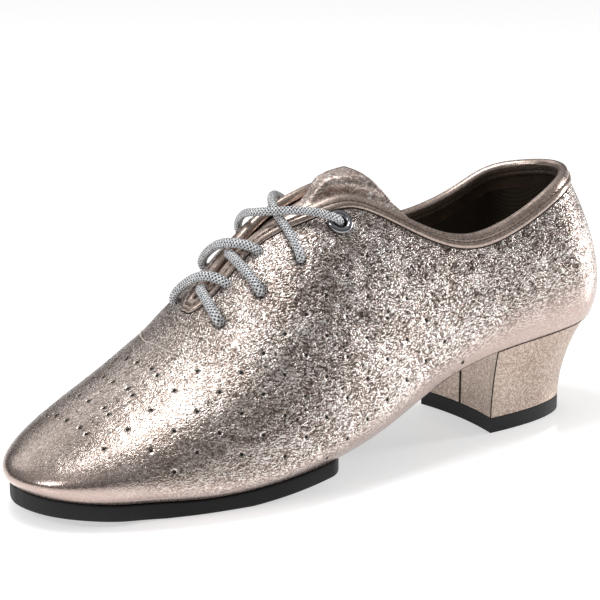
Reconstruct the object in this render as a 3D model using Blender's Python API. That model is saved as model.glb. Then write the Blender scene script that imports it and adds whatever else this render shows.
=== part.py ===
# Lace-up practice shoe for ballroom dancing, the left one, with a covered block heel.
# The toe points to -X, the outer side of the foot to -Y, and the shoe stands on Z = 0.
import bpy
import bmesh
import numpy as np
from mathutils import Matrix, Vector

MM = 0.001

# Driving sizes of the last
LENGTH = 245.0 * MM
BALL_WIDTH = 86.0 * MM
INSTEP_HEIGHT = 98.0 * MM
SOLE_EDGE_HEIGHT = 5.7 * MM
HEEL_RISE = 35.0 * MM
TOE_SPRING = 4.5 * MM
BACK_HEIGHT = 92.0 * MM

# Leather, binding and lining
WALL = 1.6 * MM
BINDING_THICKNESS = 0.7 * MM
BINDING_WIDTH = 4.2 * MM
TONGUE_THICKNESS = 1.6 * MM
TONGUE_WIDTH = 52.0 * MM
TONGUE_PROUD = 2.2 * MM
TONGUE_TIP_DROP = 2.3 * MM
TONGUE_SHOULDER = 0.9 * MM
TONGUE_BASE_SHARE = 0.745
TONGUE_RISE_SHARE = 0.495
TONGUE_CLEAR_SHARE = 0.435
TONGUE_TIP_SHARE = 0.389
TONGUE_BASE_WIDTH = 32.0 * MM
TAPER_SHARE = 0.16
TIP_BEND_SHARE = 0.0525
INSOLE_THICKNESS = 1.5 * MM
INSOLE_INSET = 3.0 * MM

# Sole, heel and top piece
OUTSOLE_THICKNESS = 1.8 * MM
OUTSOLE_INSET = 2.2 * MM
FLAT_SPOT_DEPTH = 0.6 * MM
PAD_CHAMFER = 0.8 * MM
PAD_REAR_SHARE = 0.525
PAD_ROUND_SHARE = 0.045
PAD_ROUNDNESS = 2.4
HEEL_BREAST_SHARE = 0.2243
HEEL_SEAT_SHARE = 0.2343
HEEL_TIP_WIDTH = 41.8 * MM
HEEL_TIP_LENGTH = 43.5 * MM
BREAST_HOLLOW = 2.0 * MM
BREAST_SEAT_HOLLOW = 4.4 * MM
HEEL_SEAT_INSET = 0.8 * MM
TOP_PIECE_THICKNESS = 5.5 * MM
HEEL_FLARE = 1.65
HEEL_SQUARENESS = 0.8

# Lacing
LACE_DIAMETER = 4.0 * MM
LACE_HOLE_DIAMETER = 3.4 * MM
EYELET_DIAMETER = 9.4 * MM
EYELET_BORE = 4.6 * MM
EYELET_BARREL = 5.8 * MM
EYELET_RIM = 0.8 * MM
EYELET_FOOT = 0.5 * MM

# Clearances between pieces that lie against each other
GAP = 0.3 * MM
EYELET_FIT = 0.4 * MM

# The last, a row for each section, counted from the heel's back (0) to the toe's tip (1).
# near, far and ridge are shares of BALL_WIDTH: the half widths on the outer and the inner side, and how
# far the ridge lies towards the inner side. In the first and last row near and far say how round the end
# is. pitch is a share of HEEL_RISE and spring one of TOE_SPRING: together they lift the feather edge.
# swell, crown and tuck are shares of INSTEP_HEIGHT: from the feather edge up to the widest level, from
# there up to the ridge, and the depth of the curve that tucks in below. full swells or hollows the side.
LAST_COLUMNS = "share near far pitch spring swell crown tuck full ridge".split()
LAST_ROWS = np.array([
    [0.00, .680, .640, 1.000, 0.00, .178, .600, .454, -.45, .000],
    [0.05, .305, .292, 0.970, 0.00, .172, .600, .433, -.48, .000],
    [0.12, .373, .353, 0.900, 0.00, .163, .605, .393, -.52, .000],
    [0.22, .367, .345, 0.815, 0.00, .147, .630, .339, -.52, .006],
    [0.34, .384, .338, 0.640, 0.00, .121, .670, .290, -.36, .012],
    [0.46, .445, .368, 0.355, 0.00, .096, .715, .245, -.18, .023],
    [0.58, .507, .448, 0.147, 0.00, .088, .668, .189, -.10, .035],
    [0.68, .514, .486, 0.028, 0.00, .085, .515, .148, -.02, .046],
    [0.78, .468, .468, 0.000, 0.02, .078, .340, .127, .04, .046],
    [0.87, .384, .403, 0.000, 0.38, .068, .212, .116, .05, .046],
    [0.94, .270, .309, 0.000, 0.82, .050, .111, .108, .05, .040],
    [1.00, .610, .640, 0.000, 1.10, .045, .160, .170, .00, .035],
])

# The curve of the heel's back: height as a share of BACK_HEIGHT, inset as a share of LENGTH
BACK_COLUMNS = "height inset".split()
BACK_ROWS = np.array([
    [0.38, .0105],
    [0.50, .0000],
    [0.61, .0022],
    [0.74, .0134],
    [0.87, .0300],
    [1.00, .0512],
    [1.18, .0810],
])

# Ribs that tie the feather edge to the opening, a row for each, from the toe to the heel's back.
# foot is the share at the feather edge, top the share at the opening, and near and far say how far up
# the side the opening runs there: 0 at the widest level, 1 on the ridge.
RIB_COLUMNS = "foot top near far".split()
RIB_ROWS = np.array([
    [1.000, .690, 1.000, 1.000],
    [0.860, .682, 0.972, 0.972],
    [0.770, .655, 0.960, 0.958],
    [0.650, .590, 0.948, 0.935],
    [0.540, .510, 0.855, 0.860],
    [0.455, .440, 0.785, 0.800],
    [0.390, .402, 0.665, 0.670],
    [0.320, .350, 0.480, 0.470],
    [0.215, .262, 0.328, 0.300],
    [0.100, .125, 0.366, 0.325],
    [0.000, .000, 0.378, 0.378],
])

# Lace holes on each side, from the toe upwards: the share, and how far up the near and the far side
HOLE_COLUMNS = "share near far".split()
HOLE_ROWS = np.array([
    [0.691, .773, .795],
    [0.630, .703, .725],
    [0.558, .663, .675],
    [0.470, .683, .640],
])

# How finely the pieces are faceted
RIBS = 96
WALL_ROWS = 13
SOLE_STATIONS = 40
HEEL_POINTS = 13
BREAST_POINTS = 3
HEEL_LEVELS = 8
TONGUE_STATIONS = 16
TONGUE_COLUMNS = 17
FINE_ROWS = 64
ROW_CROWDING = 1.15
EYELET_POINTS = 20
CORD_STEPS = 13
CORD_SIDES = 8

# A crossing's upper end dives under the far facing this share of the way from the ridge to its lace hole
DIVE_SHARE = 0.55

# Where the rays that shape the upper start: these shares of the length, and this share of the crown
RAY_SHARES = 0.14, 0.88
RAY_HEIGHT_SHARE = 0.25

# How close the sole pieces come to the ends of the feather edge, as shares of the length
END_SHARE = 0.0004
OUTSOLE_HEEL_SHARE = 0.012
OUTSOLE_TOE_SHARE = 0.018
INSOLE_HEEL_SHARE = 0.016
INSOLE_TOE_SHARE = 0.022


# Curves and the form of the last

def column(rows, names, name):
    """One named column of a table."""
    return rows[:, names.index(name)]


def spline(at, value, x):
    """Natural cubic spline through the pairs of at and value, read at x."""
    at = np.asarray(at, float)
    value = np.asarray(value, float)
    step = np.diff(at)
    matrix = np.eye(len(at))
    right_side = np.zeros(len(at))
    for i in range(1, len(at) - 1):
        matrix[i, i - 1:i + 2] = step[i - 1], 2 * (step[i - 1] + step[i]), step[i]
        right_side[i] = 6 * ((value[i + 1] - value[i]) / step[i] - (value[i] - value[i - 1]) / step[i - 1])
    bend = np.linalg.solve(matrix, right_side)
    x = np.asarray(x, float)
    i = np.clip(np.searchsorted(at, x) - 1, 0, len(at) - 2)
    left = (at[i + 1] - x) / step[i]
    right = (x - at[i]) / step[i]
    curve = (left ** 3 - left) * bend[i] + (right ** 3 - right) * bend[i + 1]
    return left * value[i] + right * value[i + 1] + curve * step[i] ** 2 / 6


def both_ends(share):
    """Height of a half ellipse over the length: 0 at heel and toe, 1 half way."""
    share = np.clip(share, 0, 1)
    return 2 * np.sqrt(share * (1 - share))


def toe_end(share):
    """Close to 1 along the foot, and round down to 0 at the toe's tip."""
    return np.sqrt(1 - np.clip(share, 0, 1) ** 4)


def last_column(name, share, rounding=None):
    """A column of the last's table along the foot, its end rounded where a rounding is given."""
    at = column(LAST_ROWS, LAST_COLUMNS, "share")
    value = column(LAST_ROWS, LAST_COLUMNS, name).copy()
    if rounding is None:
        return spline(at, value, share)
    inner = rounding(at) > 1e-6
    value[inner] /= rounding(at[inner])
    return spline(at, value, share) * rounding(share)


def section(share):
    """The sizes of the last's cross section at a share of the length."""
    share = np.asarray(share, float)
    lift = last_column("pitch", share) * HEEL_RISE + last_column("spring", share) * TOE_SPRING
    return {
        "near": last_column("near", share, both_ends) * BALL_WIDTH,
        "far": last_column("far", share, both_ends) * BALL_WIDTH,
        "ridge": last_column("ridge", share) * BALL_WIDTH,
        "edge": SOLE_EDGE_HEIGHT + lift,
        "swell": last_column("swell", share) * INSTEP_HEIGHT,
        "crown": last_column("crown", share, toe_end) * INSTEP_HEIGHT,
        "tuck": last_column("tuck", share, toe_end) * INSTEP_HEIGHT,
        "full": last_column("full", share),
    }


def back_inset(height):
    """How far the heel's back lies inside its hindmost point at a height above the floor."""
    at = column(BACK_ROWS, BACK_COLUMNS, "height")
    level = np.clip(np.asarray(height, float) / BACK_HEIGHT, at[0], at[-1])
    return spline(at, column(BACK_ROWS, BACK_COLUMNS, "inset"), level) * LENGTH


def x_at(share, height):
    """X of a share of the length, counted from the heel's back at that height."""
    inset = back_inset(height)
    return LENGTH / 2 - inset - share * (LENGTH - inset)


def share_at(x, height):
    """Share of the length at X, counted from the heel's back at that height."""
    inset = back_inset(height)
    return (LENGTH / 2 - inset - x) / (LENGTH - inset)


def on_last(share, turn, side):
    """Point on the last: turn goes from 0 at the widest level to 1 on the ridge, side is -1 near or 1 far."""
    share, turn, side = np.broadcast_arrays(np.asarray(share, float), turn, side)
    size = section(share)
    angle = turn * np.pi / 2
    up = np.sin(angle) >= 0
    height = size["edge"] + size["swell"] + np.sin(angle) * np.where(up, size["crown"], size["tuck"])
    half = np.where(side < 0, size["near"] + size["ridge"], size["far"] - size["ridge"])
    fullness = 1 + np.where(up, size["full"], 0.0) * np.sin(angle) ** 2
    y = size["ridge"] + side * half * np.cos(angle) * fullness
    return np.stack([x_at(share, height), y, height], -1)


def inside_last(point):
    """True where a point lies inside the last."""
    share = share_at(point[..., 0], point[..., 2])
    size = section(np.clip(share, 1e-6, 1 - 1e-6))
    above = point[..., 2] - size["edge"] - size["swell"]
    up = above >= 0
    level = np.where(up, above / size["crown"], -above / size["tuck"])
    aside = point[..., 1] - size["ridge"]
    half = np.where(aside < 0, size["near"] + size["ridge"], size["far"] - size["ridge"])
    fullness = 1 + np.where(up, size["full"], 0.0) * level ** 2
    half = half * np.sqrt(np.clip(1 - level ** 2, 0, None)) * fullness
    return (level < 1) & (share > 0) & (share < 1) & (np.abs(aside) < half)


def cast(origin, direction, halvings=26):
    """Where a ray from inside the last leaves it, found by halving."""
    near = np.zeros(origin.shape[:-1])
    far = np.full(origin.shape[:-1], LENGTH)
    for _ in range(halvings):
        middle = (near + far) / 2
        within = inside_last(origin + direction * middle[..., None])
        near = np.where(within, middle, near)
        far = np.where(within, far, middle)
    return origin + direction * near[..., None]


def unit(vector):
    """Vectors scaled to length 1."""
    return vector / np.linalg.norm(vector, axis=-1, keepdims=True)


def feather_half(share):
    """Half widths of the feather edge, where the upper meets the sole, measured from the ridge line."""
    size = section(share)
    narrow = np.sqrt(np.clip(1 - (size["swell"] / size["tuck"]) ** 2, 0, None))
    return (size["near"] + size["ridge"]) * narrow, (size["far"] - size["ridge"]) * narrow


def feather_tip():
    """Share at which the feather edge closes at the toe: the tuck there equals the swell."""
    low, high = 0.9, 1.0 - 1e-9
    for _ in range(40):
        middle = (low + high) / 2
        size = section(middle)
        if size["tuck"] > size["swell"]:
            low = middle
        else:
            high = middle
    return low


FEATHER_TIP = feather_tip()


def feather_point(share, side):
    """Point on the feather edge."""
    size = section(share)
    near, far = feather_half(share)
    y = size["ridge"] + np.where(np.asarray(side) < 0, -near, far)
    return np.stack([x_at(share, size["edge"]), y, size["edge"]], -1)


def feather_loop():
    """The feather edge as a dense loop from the toe's tip round the near side, with its length so far."""
    angle = np.linspace(0, 2 * np.pi, 1441)
    share = FEATHER_TIP * (1 + np.cos(angle)) / 2
    side = np.where(angle < np.pi, -1.0, 1.0)
    points = feather_point(np.clip(share, 1e-9, FEATHER_TIP), side)
    run = np.concatenate([[0.0], np.cumsum(np.linalg.norm(np.diff(points, axis=0), axis=1))])
    return share, points, run / run[-1]


def closed_spline(at, points, x):
    """Cubic spline through a closed loop of points, whose places run from 0 to 1."""
    wrap = 4
    at = np.concatenate([at[-wrap:] - 1, at, at[:wrap] + 1])
    points = np.concatenate([points[-wrap:], points, points[:wrap]])
    return np.stack([spline(at, points[:, axis], x) for axis in range(3)], -1)


def upper_ribs(count):
    """Fine ribs of the upper's outer face, from the feather edge to the opening, with outward normals.

    Rib k starts at an even step round the feather edge and ends at the opening. In between, a ray from
    the middle of the foot turns evenly from one to the other and is cast out to the last.
    """
    share, loop, run = feather_loop()
    half = len(run) // 2
    foot = np.clip(column(RIB_ROWS, RIB_COLUMNS, "foot"), 0, 1) * FEATHER_TIP
    near_run = np.interp(-foot, -share[:half + 1], run[:half + 1])
    far_run = np.interp(foot[1:-1], share[half:], run[half:])
    top = column(RIB_ROWS, RIB_COLUMNS, "top")
    near_top = on_last(np.clip(top, 1e-9, 1), column(RIB_ROWS, RIB_COLUMNS, "near"), -1.0)
    far_top = on_last(top[1:-1], column(RIB_ROWS, RIB_COLUMNS, "far")[1:-1], 1.0)
    places = np.concatenate([near_run, far_run[::-1]])
    tops = np.concatenate([near_top, far_top[::-1]])
    at = np.arange(count) / count
    edge = closed_spline(places, tops, at)
    feather = np.stack([np.interp(at, run, loop[:, axis]) for axis in range(3)], -1)
    middle = (share_at(edge[:, 0], edge[:, 2]) + share_at(feather[:, 0], feather[:, 2])) / 2
    middle = np.clip(middle, *RAY_SHARES)
    size = section(middle)
    height = size["edge"] + size["swell"] + RAY_HEIGHT_SHARE * size["crown"]
    origin = np.stack([x_at(middle, height), size["ridge"], height], -1)
    start = unit(feather - origin)
    stop = unit(edge - origin)
    angle = np.arccos(np.clip((start * stop).sum(-1), -1, 1))[:, None, None]
    turn = np.linspace(0, 1, FINE_ROWS)[None, :, None]
    ray = np.sin((1 - turn) * angle) * start[:, None] + np.sin(turn * angle) * stop[:, None]
    ribs = cast(np.broadcast_to(origin[:, None], ray.shape), unit(ray))
    ribs[:, 0] = feather
    along = np.gradient(ribs, axis=1)
    around = np.roll(ribs, -1, axis=0) - np.roll(ribs, 1, axis=0)
    normals = unit(np.cross(around, along))
    return ribs, normals


def read_ribs(ribs, normals, down, out):
    """Points on each rib at a distance down from the opening and out from the leather's face."""
    steps = np.linalg.norm(np.diff(ribs, axis=1), axis=2)
    from_top = np.concatenate([np.cumsum(steps[:, ::-1], axis=1)[:, ::-1], np.zeros((len(ribs), 1))], axis=1)
    points = np.empty_like(ribs[:, 0])
    for k in range(len(ribs)):
        reach = max(down, 0.0)
        place = [np.interp(-reach, -from_top[k], ribs[k, :, axis]) for axis in range(3)]
        normal = [np.interp(-reach, -from_top[k], normals[k, :, axis]) for axis in range(3)]
        points[k] = np.array(place) + unit(np.array(normal)) * out
    if down < 0:
        points -= unit(ribs[:, -3] - ribs[:, -1]) * -down
    return points


# Mesh helpers

def clear_scene():
    """Takes every object out of the scene."""
    for thing in list(bpy.data.objects):
        bpy.data.objects.remove(thing, do_unlink=True)


def material(name, colour, roughness, metallic=0.0):
    """A plain shader with the piece's colour, roughness and metallic value."""
    finish = bpy.data.materials.new(name)
    finish.use_nodes = True
    shader = finish.node_tree.nodes["Principled BSDF"]
    shader.inputs["Base Color"].default_value = (*colour, 1.0)
    shader.inputs["Roughness"].default_value = roughness
    shader.inputs["Metallic"].default_value = metallic
    return finish


def add_piece(name, verts, faces, finish, smooth=True):
    """One named object from points and faces, its faces turned outwards."""
    mesh = bpy.data.meshes.new(name)
    mesh.from_pydata([tuple(map(float, v)) for v in verts], [], faces)
    shape = bmesh.new()
    shape.from_mesh(mesh)
    bmesh.ops.recalc_face_normals(shape, faces=shape.faces)
    if shape.calc_volume(signed=True) < 0:
        bmesh.ops.reverse_faces(shape, faces=shape.faces)
    shape.to_mesh(mesh)
    shape.free()
    if smooth:
        mesh.shade_smooth()
        mesh.set_sharp_from_angle(angle=np.radians(40))
    piece = bpy.data.objects.new(name, mesh)
    piece.data.materials.append(finish)
    bpy.context.scene.collection.objects.link(piece)
    return piece


def grid_faces(columns, rows, closed, start=0, flip=False):
    """Quads of a grid whose points are numbered row by row within each column."""
    faces = []
    for i in range(columns if closed else columns - 1):
        j = (i + 1) % columns
        for k in range(rows - 1):
            quad = (start + i * rows + k, start + j * rows + k, start + j * rows + k + 1, start + i * rows + k + 1)
            faces.append(quad[::-1] if flip else quad)
    return faces


def ring_loft(rings, cap_first=True, cap_last=True, closed=False):
    """Points and faces of a tube through rings of equally many points."""
    rings = np.asarray(rings)
    count, size = rings.shape[:2]
    verts = rings.reshape(-1, 3)
    faces = []
    for i in range(count if closed else count - 1):
        j = (i + 1) % count
        for k in range(size):
            m = (k + 1) % size
            faces.append((i * size + k, i * size + m, j * size + m, j * size + k))
    if not closed and cap_first:
        faces.append(tuple(range(size))[::-1])
    if not closed and cap_last:
        faces.append(tuple((count - 1) * size + k for k in range(size)))
    return verts, faces


def hide_cutter(cutter):
    """Marks an object as a tool that only shapes others."""
    cutter.hide_render = True
    cutter.display_type = "WIRE"
    return cutter


def add_boolean(piece, cutter, operation):
    """Cuts or joins with an exact Boolean."""
    cut = piece.modifiers.new(cutter.name, "BOOLEAN")
    cut.operation = operation
    cut.solver = "EXACT"
    cut.object = cutter


# The upper and its binding

def last_frame(share, turn, side):
    """Point on the last with its outward normal."""
    small = 1e-4
    point = on_last(share, turn, side)
    along = on_last(share + small, turn, side) - point
    up = on_last(share, turn + small, side) - point
    normal = unit(np.cross(along, up)) * np.asarray(side)[..., None]
    return point, normal


def hole_place(number, side):
    """Share and turn of a lace hole on one side."""
    turns = column(HOLE_ROWS, HOLE_COLUMNS, "near" if side < 0 else "far")
    return column(HOLE_ROWS, HOLE_COLUMNS, "share")[number], turns[number]


def add_disc_tool(name, point, normal, radius, depth):
    """A round punch across the wall at a point."""
    shape = bmesh.new()
    turn = Vector(normal).to_track_quat("Z", "Y").to_matrix().to_4x4()
    place = Matrix.Translation(Vector(point)) @ turn
    bmesh.ops.create_cone(shape, cap_ends=True, segments=16, radius1=radius, radius2=radius, depth=depth,
                          matrix=place)
    mesh = bpy.data.meshes.new(name)
    shape.to_mesh(mesh)
    shape.free()
    tool = bpy.data.objects.new(name, mesh)
    bpy.context.scene.collection.objects.link(tool)
    return hide_cutter(tool)


def make_upper(ribs, normals, finish):
    """Hollow upper: outer face, inner face a wall inside it, open at the top and over the sole."""
    steps = np.linalg.norm(np.diff(ribs, axis=1), axis=2)
    run = np.concatenate([np.zeros((len(ribs), 1)), np.cumsum(steps, axis=1)], axis=1)
    below_binding = 1 - BINDING_WIDTH / run[:, -1]
    run /= run[:, -1:]
    rows = np.linspace(0, 1, WALL_ROWS - 1) ** ROW_CROWDING
    outer = np.empty((len(ribs), WALL_ROWS, 3))
    facing = np.empty_like(outer)
    for k in range(len(ribs)):
        at = np.append(rows * below_binding[k], 1.0)
        for axis in range(3):
            outer[k, :, axis] = np.interp(at, run[k], ribs[k, :, axis])
            facing[k, :, axis] = np.interp(at, run[k], normals[k, :, axis])
    inner = outer - unit(facing) * WALL
    count = len(ribs) * WALL_ROWS
    verts = np.concatenate([outer.reshape(-1, 3), inner.reshape(-1, 3)])
    faces = grid_faces(len(ribs), WALL_ROWS, True)
    faces += grid_faces(len(ribs), WALL_ROWS, True, start=count, flip=True)
    for i in range(len(ribs)):
        j = (i + 1) % len(ribs)
        for row in (0, WALL_ROWS - 1):
            a, b = i * WALL_ROWS + row, j * WALL_ROWS + row
            faces.append((a, b, b + count, a + count) if row else (b, a, a + count, b + count))
    upper = add_piece("upper", verts, faces, finish)
    for side, side_name in ((-1.0, "near"), (1.0, "far")):
        for number in range(len(HOLE_ROWS)):
            point, normal = last_frame(*hole_place(number, side), side)
            top_hole = number == len(HOLE_ROWS) - 1
            width = EYELET_BARREL + 2 * EYELET_FIT if top_hole else LACE_HOLE_DIAMETER
            punch = add_disc_tool(f"punch_{side_name}_{number + 1}", point, normal, width / 2, 6 * WALL)
            add_boolean(upper, punch, "DIFFERENCE")
    return upper


def make_binding(ribs, normals, finish):
    """Folded strip over the raw edge of the opening, all round collar and facings."""
    outside = GAP + BINDING_THICKNESS
    inside = -WALL - GAP - BINDING_THICKNESS
    profile = [
        (BINDING_WIDTH, GAP), (BINDING_WIDTH, outside), (0.0, outside), (-outside, -WALL / 2),
        (0.0, inside), (BINDING_WIDTH, inside), (BINDING_WIDTH, -WALL - GAP), (-GAP, -WALL - GAP),
        (-GAP, GAP),
    ]
    rings = np.stack([read_ribs(ribs, normals, down, out) for down, out in profile], axis=1)
    verts, faces = ring_loft(rings, closed=True)
    return add_piece("topline_binding", verts, faces, finish)


def opening_half(share, side):
    """How far the opening's edge lies from the ridge line on one side, between throat and ankle."""
    turns = column(RIB_ROWS, RIB_COLUMNS, "near"), column(RIB_ROWS, RIB_COLUMNS, "far")
    rows = slice(1, 9)
    top = column(RIB_ROWS, RIB_COLUMNS, "top")[rows]
    asides = [
        np.abs(on_last(top, turn[rows], which)[:, 1] - section(top)["ridge"])
        for turn, which in zip(turns, (-1.0, 1.0))
    ]
    near, far = [np.interp(-share, -top, aside) for aside in asides]
    return np.where(side < 0, near, far)


def make_tongue(finish):
    """Sheet under the facings: set a binding's thickness below them, and standing proud at its tip."""
    under_vamp = -WALL - GAP
    under_facing = -WALL - 3 * GAP - BINDING_THICKNESS
    throat_share = column(RIB_ROWS, RIB_COLUMNS, "top")[0]
    share = np.linspace(TONGUE_BASE_SHARE, TONGUE_TIP_SHARE, TONGUE_STATIONS)[:, None]
    across = np.linspace(-1, 1, TONGUE_COLUMNS)[None, :]
    rise = np.clip((TONGUE_RISE_SHARE - share) / (TONGUE_RISE_SHARE - TONGUE_CLEAR_SHARE), 0, 1)
    rise = rise * rise * (3 - 2 * rise)
    drop = np.clip((TONGUE_RISE_SHARE - share) / (TONGUE_RISE_SHARE - TONGUE_TIP_SHARE), 0, 1) ** 2
    share = share - TIP_BEND_SHARE * rise * across ** 2
    size = section(share)
    side = np.where(across < 0, -1.0, 1.0) + 0.0 * share
    half = np.where(side < 0, size["near"] + size["ridge"], size["far"] - size["ridge"])
    spread = np.clip((TONGUE_BASE_SHARE - share) / TAPER_SHARE, 0, 1)
    half_width = (TONGUE_BASE_WIDTH + (TONGUE_WIDTH - TONGUE_BASE_WIDTH) * spread) / 2
    turn = 1 - np.arcsin(np.clip(np.abs(across) * half_width / half, 0, 0.98)) / (np.pi / 2)
    point = on_last(share, turn, side)
    along = np.gradient(point, axis=0)
    sideways = np.gradient(point, axis=1)
    normal = unit(np.cross(sideways, along))
    normal = normal * np.sign(normal[..., 2:3])
    to_vamp = np.clip((share - throat_share) / (TONGUE_BASE_SHARE - throat_share), 0, 1)
    free_half = opening_half(share, side) - WALL - 3 * (GAP + BINDING_THICKNESS)
    aside = np.clip(np.abs(point[..., 1] - size["ridge"]) / free_half, 0, 1)
    proud = (TONGUE_PROUD - TONGUE_TIP_DROP * drop - under_facing) * (1 - aside ** 4)
    proud = proud + TONGUE_SHOULDER * 4 * aside ** 2 * (1 - aside ** 2)
    out = under_facing + (under_vamp - under_facing) * to_vamp + proud * rise
    top = point + normal * out[..., None]
    bottom = top - normal * TONGUE_THICKNESS
    count = TONGUE_STATIONS * TONGUE_COLUMNS
    verts = np.concatenate([top.reshape(-1, 3), bottom.reshape(-1, 3)])
    faces = grid_faces(TONGUE_STATIONS, TONGUE_COLUMNS, False)
    faces += grid_faces(TONGUE_STATIONS, TONGUE_COLUMNS, False, start=count, flip=True)
    last_row = (TONGUE_STATIONS - 1) * TONGUE_COLUMNS
    border = list(range(TONGUE_COLUMNS))
    border += [i * TONGUE_COLUMNS + TONGUE_COLUMNS - 1 for i in range(1, TONGUE_STATIONS)]
    border += [last_row + k for k in range(TONGUE_COLUMNS - 2, -1, -1)]
    border += [i * TONGUE_COLUMNS for i in range(TONGUE_STATIONS - 2, 0, -1)]
    for a, b in zip(border, border[1:] + border[:1]):
        faces.append((a, b, b + count, a + count))
    return add_piece("tongue", verts, faces, finish)


# Sole pieces

def sole_outline(share, inset=0.0):
    """Near and far Y of the feather edge at a share, moved in by an inset square to the outline."""
    size = section(share)
    near, far = feather_half(share)
    small = 1e-4
    low, high = np.clip(share - small, 1e-7, FEATHER_TIP), np.clip(share + small, 1e-7, FEATHER_TIP)
    run = (high - low) * LENGTH
    slopes = [(b - a) / run for a, b in zip(feather_half(low), feather_half(high))]
    near_half, far_half = [
        np.maximum(half - inset * np.sqrt(1 + slope ** 2), 0.0) for half, slope in zip((near, far), slopes)
    ]
    return size["ridge"] - near_half, size["ridge"] + far_half


def station_shares(first, last, count):
    """Shares between two ends, closer together towards both."""
    return first + (last - first) * (1 - np.cos(np.linspace(0, np.pi, count))) / 2


def slab(name, share, near, far, top, bottom, finish, chamfer=0.0):
    """Solid through stations: each is a flat ring between two sides, a top and a bottom height."""
    rings = []
    x = x_at(share, section(share)["edge"])
    for i in range(len(share)):
        inset = min(chamfer, 0.4 * (far[i] - near[i]))
        sides = [(near[i], top[i]), (far[i], top[i])]
        if chamfer:
            sides += [(far[i], bottom[i] + chamfer), (far[i] - inset, bottom[i])]
            sides += [(near[i] + inset, bottom[i]), (near[i], bottom[i] + chamfer)]
        else:
            sides += [(far[i], bottom[i]), (near[i], bottom[i])]
        rings.append([(x[i], y, z) for y, z in sides])
    verts, faces = ring_loft(rings)
    return add_piece(name, verts, faces, finish)


def make_outsole(finish):
    """Thin sole from toe to heel, set in flush between the lower edges of the upper that it closes."""
    share = station_shares(OUTSOLE_HEEL_SHARE, FEATHER_TIP - OUTSOLE_TOE_SHARE, SOLE_STATIONS)
    near, far = sole_outline(share, OUTSOLE_INSET)
    bottom = section(share)["edge"]
    return slab("outsole", share, near, far, bottom + OUTSOLE_THICKNESS, bottom, finish)


def make_forefoot_pad(finish):
    """Rubber pad under the forefoot: level where it stands, lifted at the toe, round at its rear end."""
    share = station_shares(PAD_REAR_SHARE + END_SHARE, FEATHER_TIP - END_SHARE, SOLE_STATIONS)
    near, far = sole_outline(share)
    back = np.clip((PAD_REAR_SHARE + PAD_ROUND_SHARE - share) / PAD_ROUND_SHARE, 0, 1)
    middle = (near + far) / 2
    rounding = np.sqrt(1 - back ** PAD_ROUNDNESS)
    near = middle + (near - middle) * rounding
    far = middle + (far - middle) * rounding
    top = section(share)["edge"] - GAP
    bottom = np.maximum(section(share)["edge"] - SOLE_EDGE_HEIGHT - FLAT_SPOT_DEPTH, 0.0)
    return slab("forefoot_pad", share, near, far, top, bottom, finish, chamfer=PAD_CHAMFER)


def make_insole(finish):
    """Sock lining board inside the upper, on the outsole."""
    share = station_shares(INSOLE_HEEL_SHARE, FEATHER_TIP - INSOLE_TOE_SHARE, SOLE_STATIONS)
    near, far = sole_outline(share, INSOLE_INSET)
    bottom = section(share)["edge"] + OUTSOLE_THICKNESS + GAP
    return slab("insole", share, near, far, bottom + INSOLE_THICKNESS, bottom, finish)


# Heel

def heel_outline():
    """Angle steps from the near breast corner round the back to the far one, denser at the corners."""
    return np.linspace(0, np.pi, 2 * HEEL_POINTS + 1)


def squared(value):
    """Keeps the sign and squares a circle's sine or cosine off towards a D shape."""
    return np.sign(value) * np.abs(value) ** HEEL_SQUARENESS


def breast_x():
    """X of the breast's lower corners."""
    return x_at(HEEL_BREAST_SHARE, section(HEEL_BREAST_SHARE)["edge"])


def hollow_loop(curve, hollow):
    """Loop from the breast's middle round the curve and back, hollowed by hollow * 4 t (1 - t)."""
    t = np.linspace(0, 1, 2 * BREAST_POINTS + 1)[1:-1, None]
    breast = curve[-1] + (curve[0] - curve[-1]) * t
    breast[:, 0] += hollow * 4 * (t * (1 - t))[:, 0]
    return np.roll(np.concatenate([curve, breast]), BREAST_POINTS, axis=0)


def heel_tip_loop(height):
    """The D-shaped outline of heel tip and top piece."""
    angle = heel_outline()
    x = breast_x() + HEEL_TIP_LENGTH * squared(np.sin(angle))
    y = -HEEL_TIP_WIDTH / 2 * squared(np.cos(angle))
    return hollow_loop(np.stack([x, y, np.full_like(x, height)], -1), BREAST_HOLLOW)


def heel_seat_loop():
    """The heel's outline where it meets the upper's lower edge."""
    angle = heel_outline()
    share = np.clip(HEEL_SEAT_SHARE * (1 - squared(np.sin(angle))), END_SHARE, None)
    near, far = sole_outline(share, HEEL_SEAT_INSET)
    half_way = angle < np.pi / 2 - 1e-9
    y = np.where(half_way, near, far)
    y[HEEL_POINTS] = (near[HEEL_POINTS] + far[HEEL_POINTS]) / 2
    x = x_at(share, section(share)["edge"]) - HEEL_SEAT_INSET * squared(np.sin(angle))
    height = section(share)["edge"] - GAP
    return hollow_loop(np.stack([x, y, height], -1), BREAST_SEAT_HOLLOW)


def heel_mesh(rings):
    """Points and faces of a stack of D rings, capped by strips from side to side."""
    verts, faces = ring_loft(rings, cap_first=False, cap_last=False)
    size = len(rings[0])
    for start, flip in ((0, False), ((len(rings) - 1) * size, True)):
        for k in range(size // 2):
            corners = k, k + 1, size - k - 1, (size - k) % size
            strip = tuple(start + corner for corner in dict.fromkeys(corners))
            faces.append(strip if flip else strip[::-1])
    return verts, faces


def make_heel(finish):
    """Leather-covered block: slim below, and flared out to the seat at the top."""
    foot = heel_tip_loop(TOP_PIECE_THICKNESS + GAP)
    seat = heel_seat_loop()
    rings = []
    for level in np.linspace(0, 1, HEEL_LEVELS):
        flare = level ** HEEL_FLARE
        ring = foot + (seat - foot) * flare
        ring[:, 2] = foot[:, 2] + (seat[:, 2] - foot[:, 2]) * level
        rings.append(ring)
    verts, faces = heel_mesh(rings)
    return add_piece("heel", verts, faces, finish)


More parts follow.
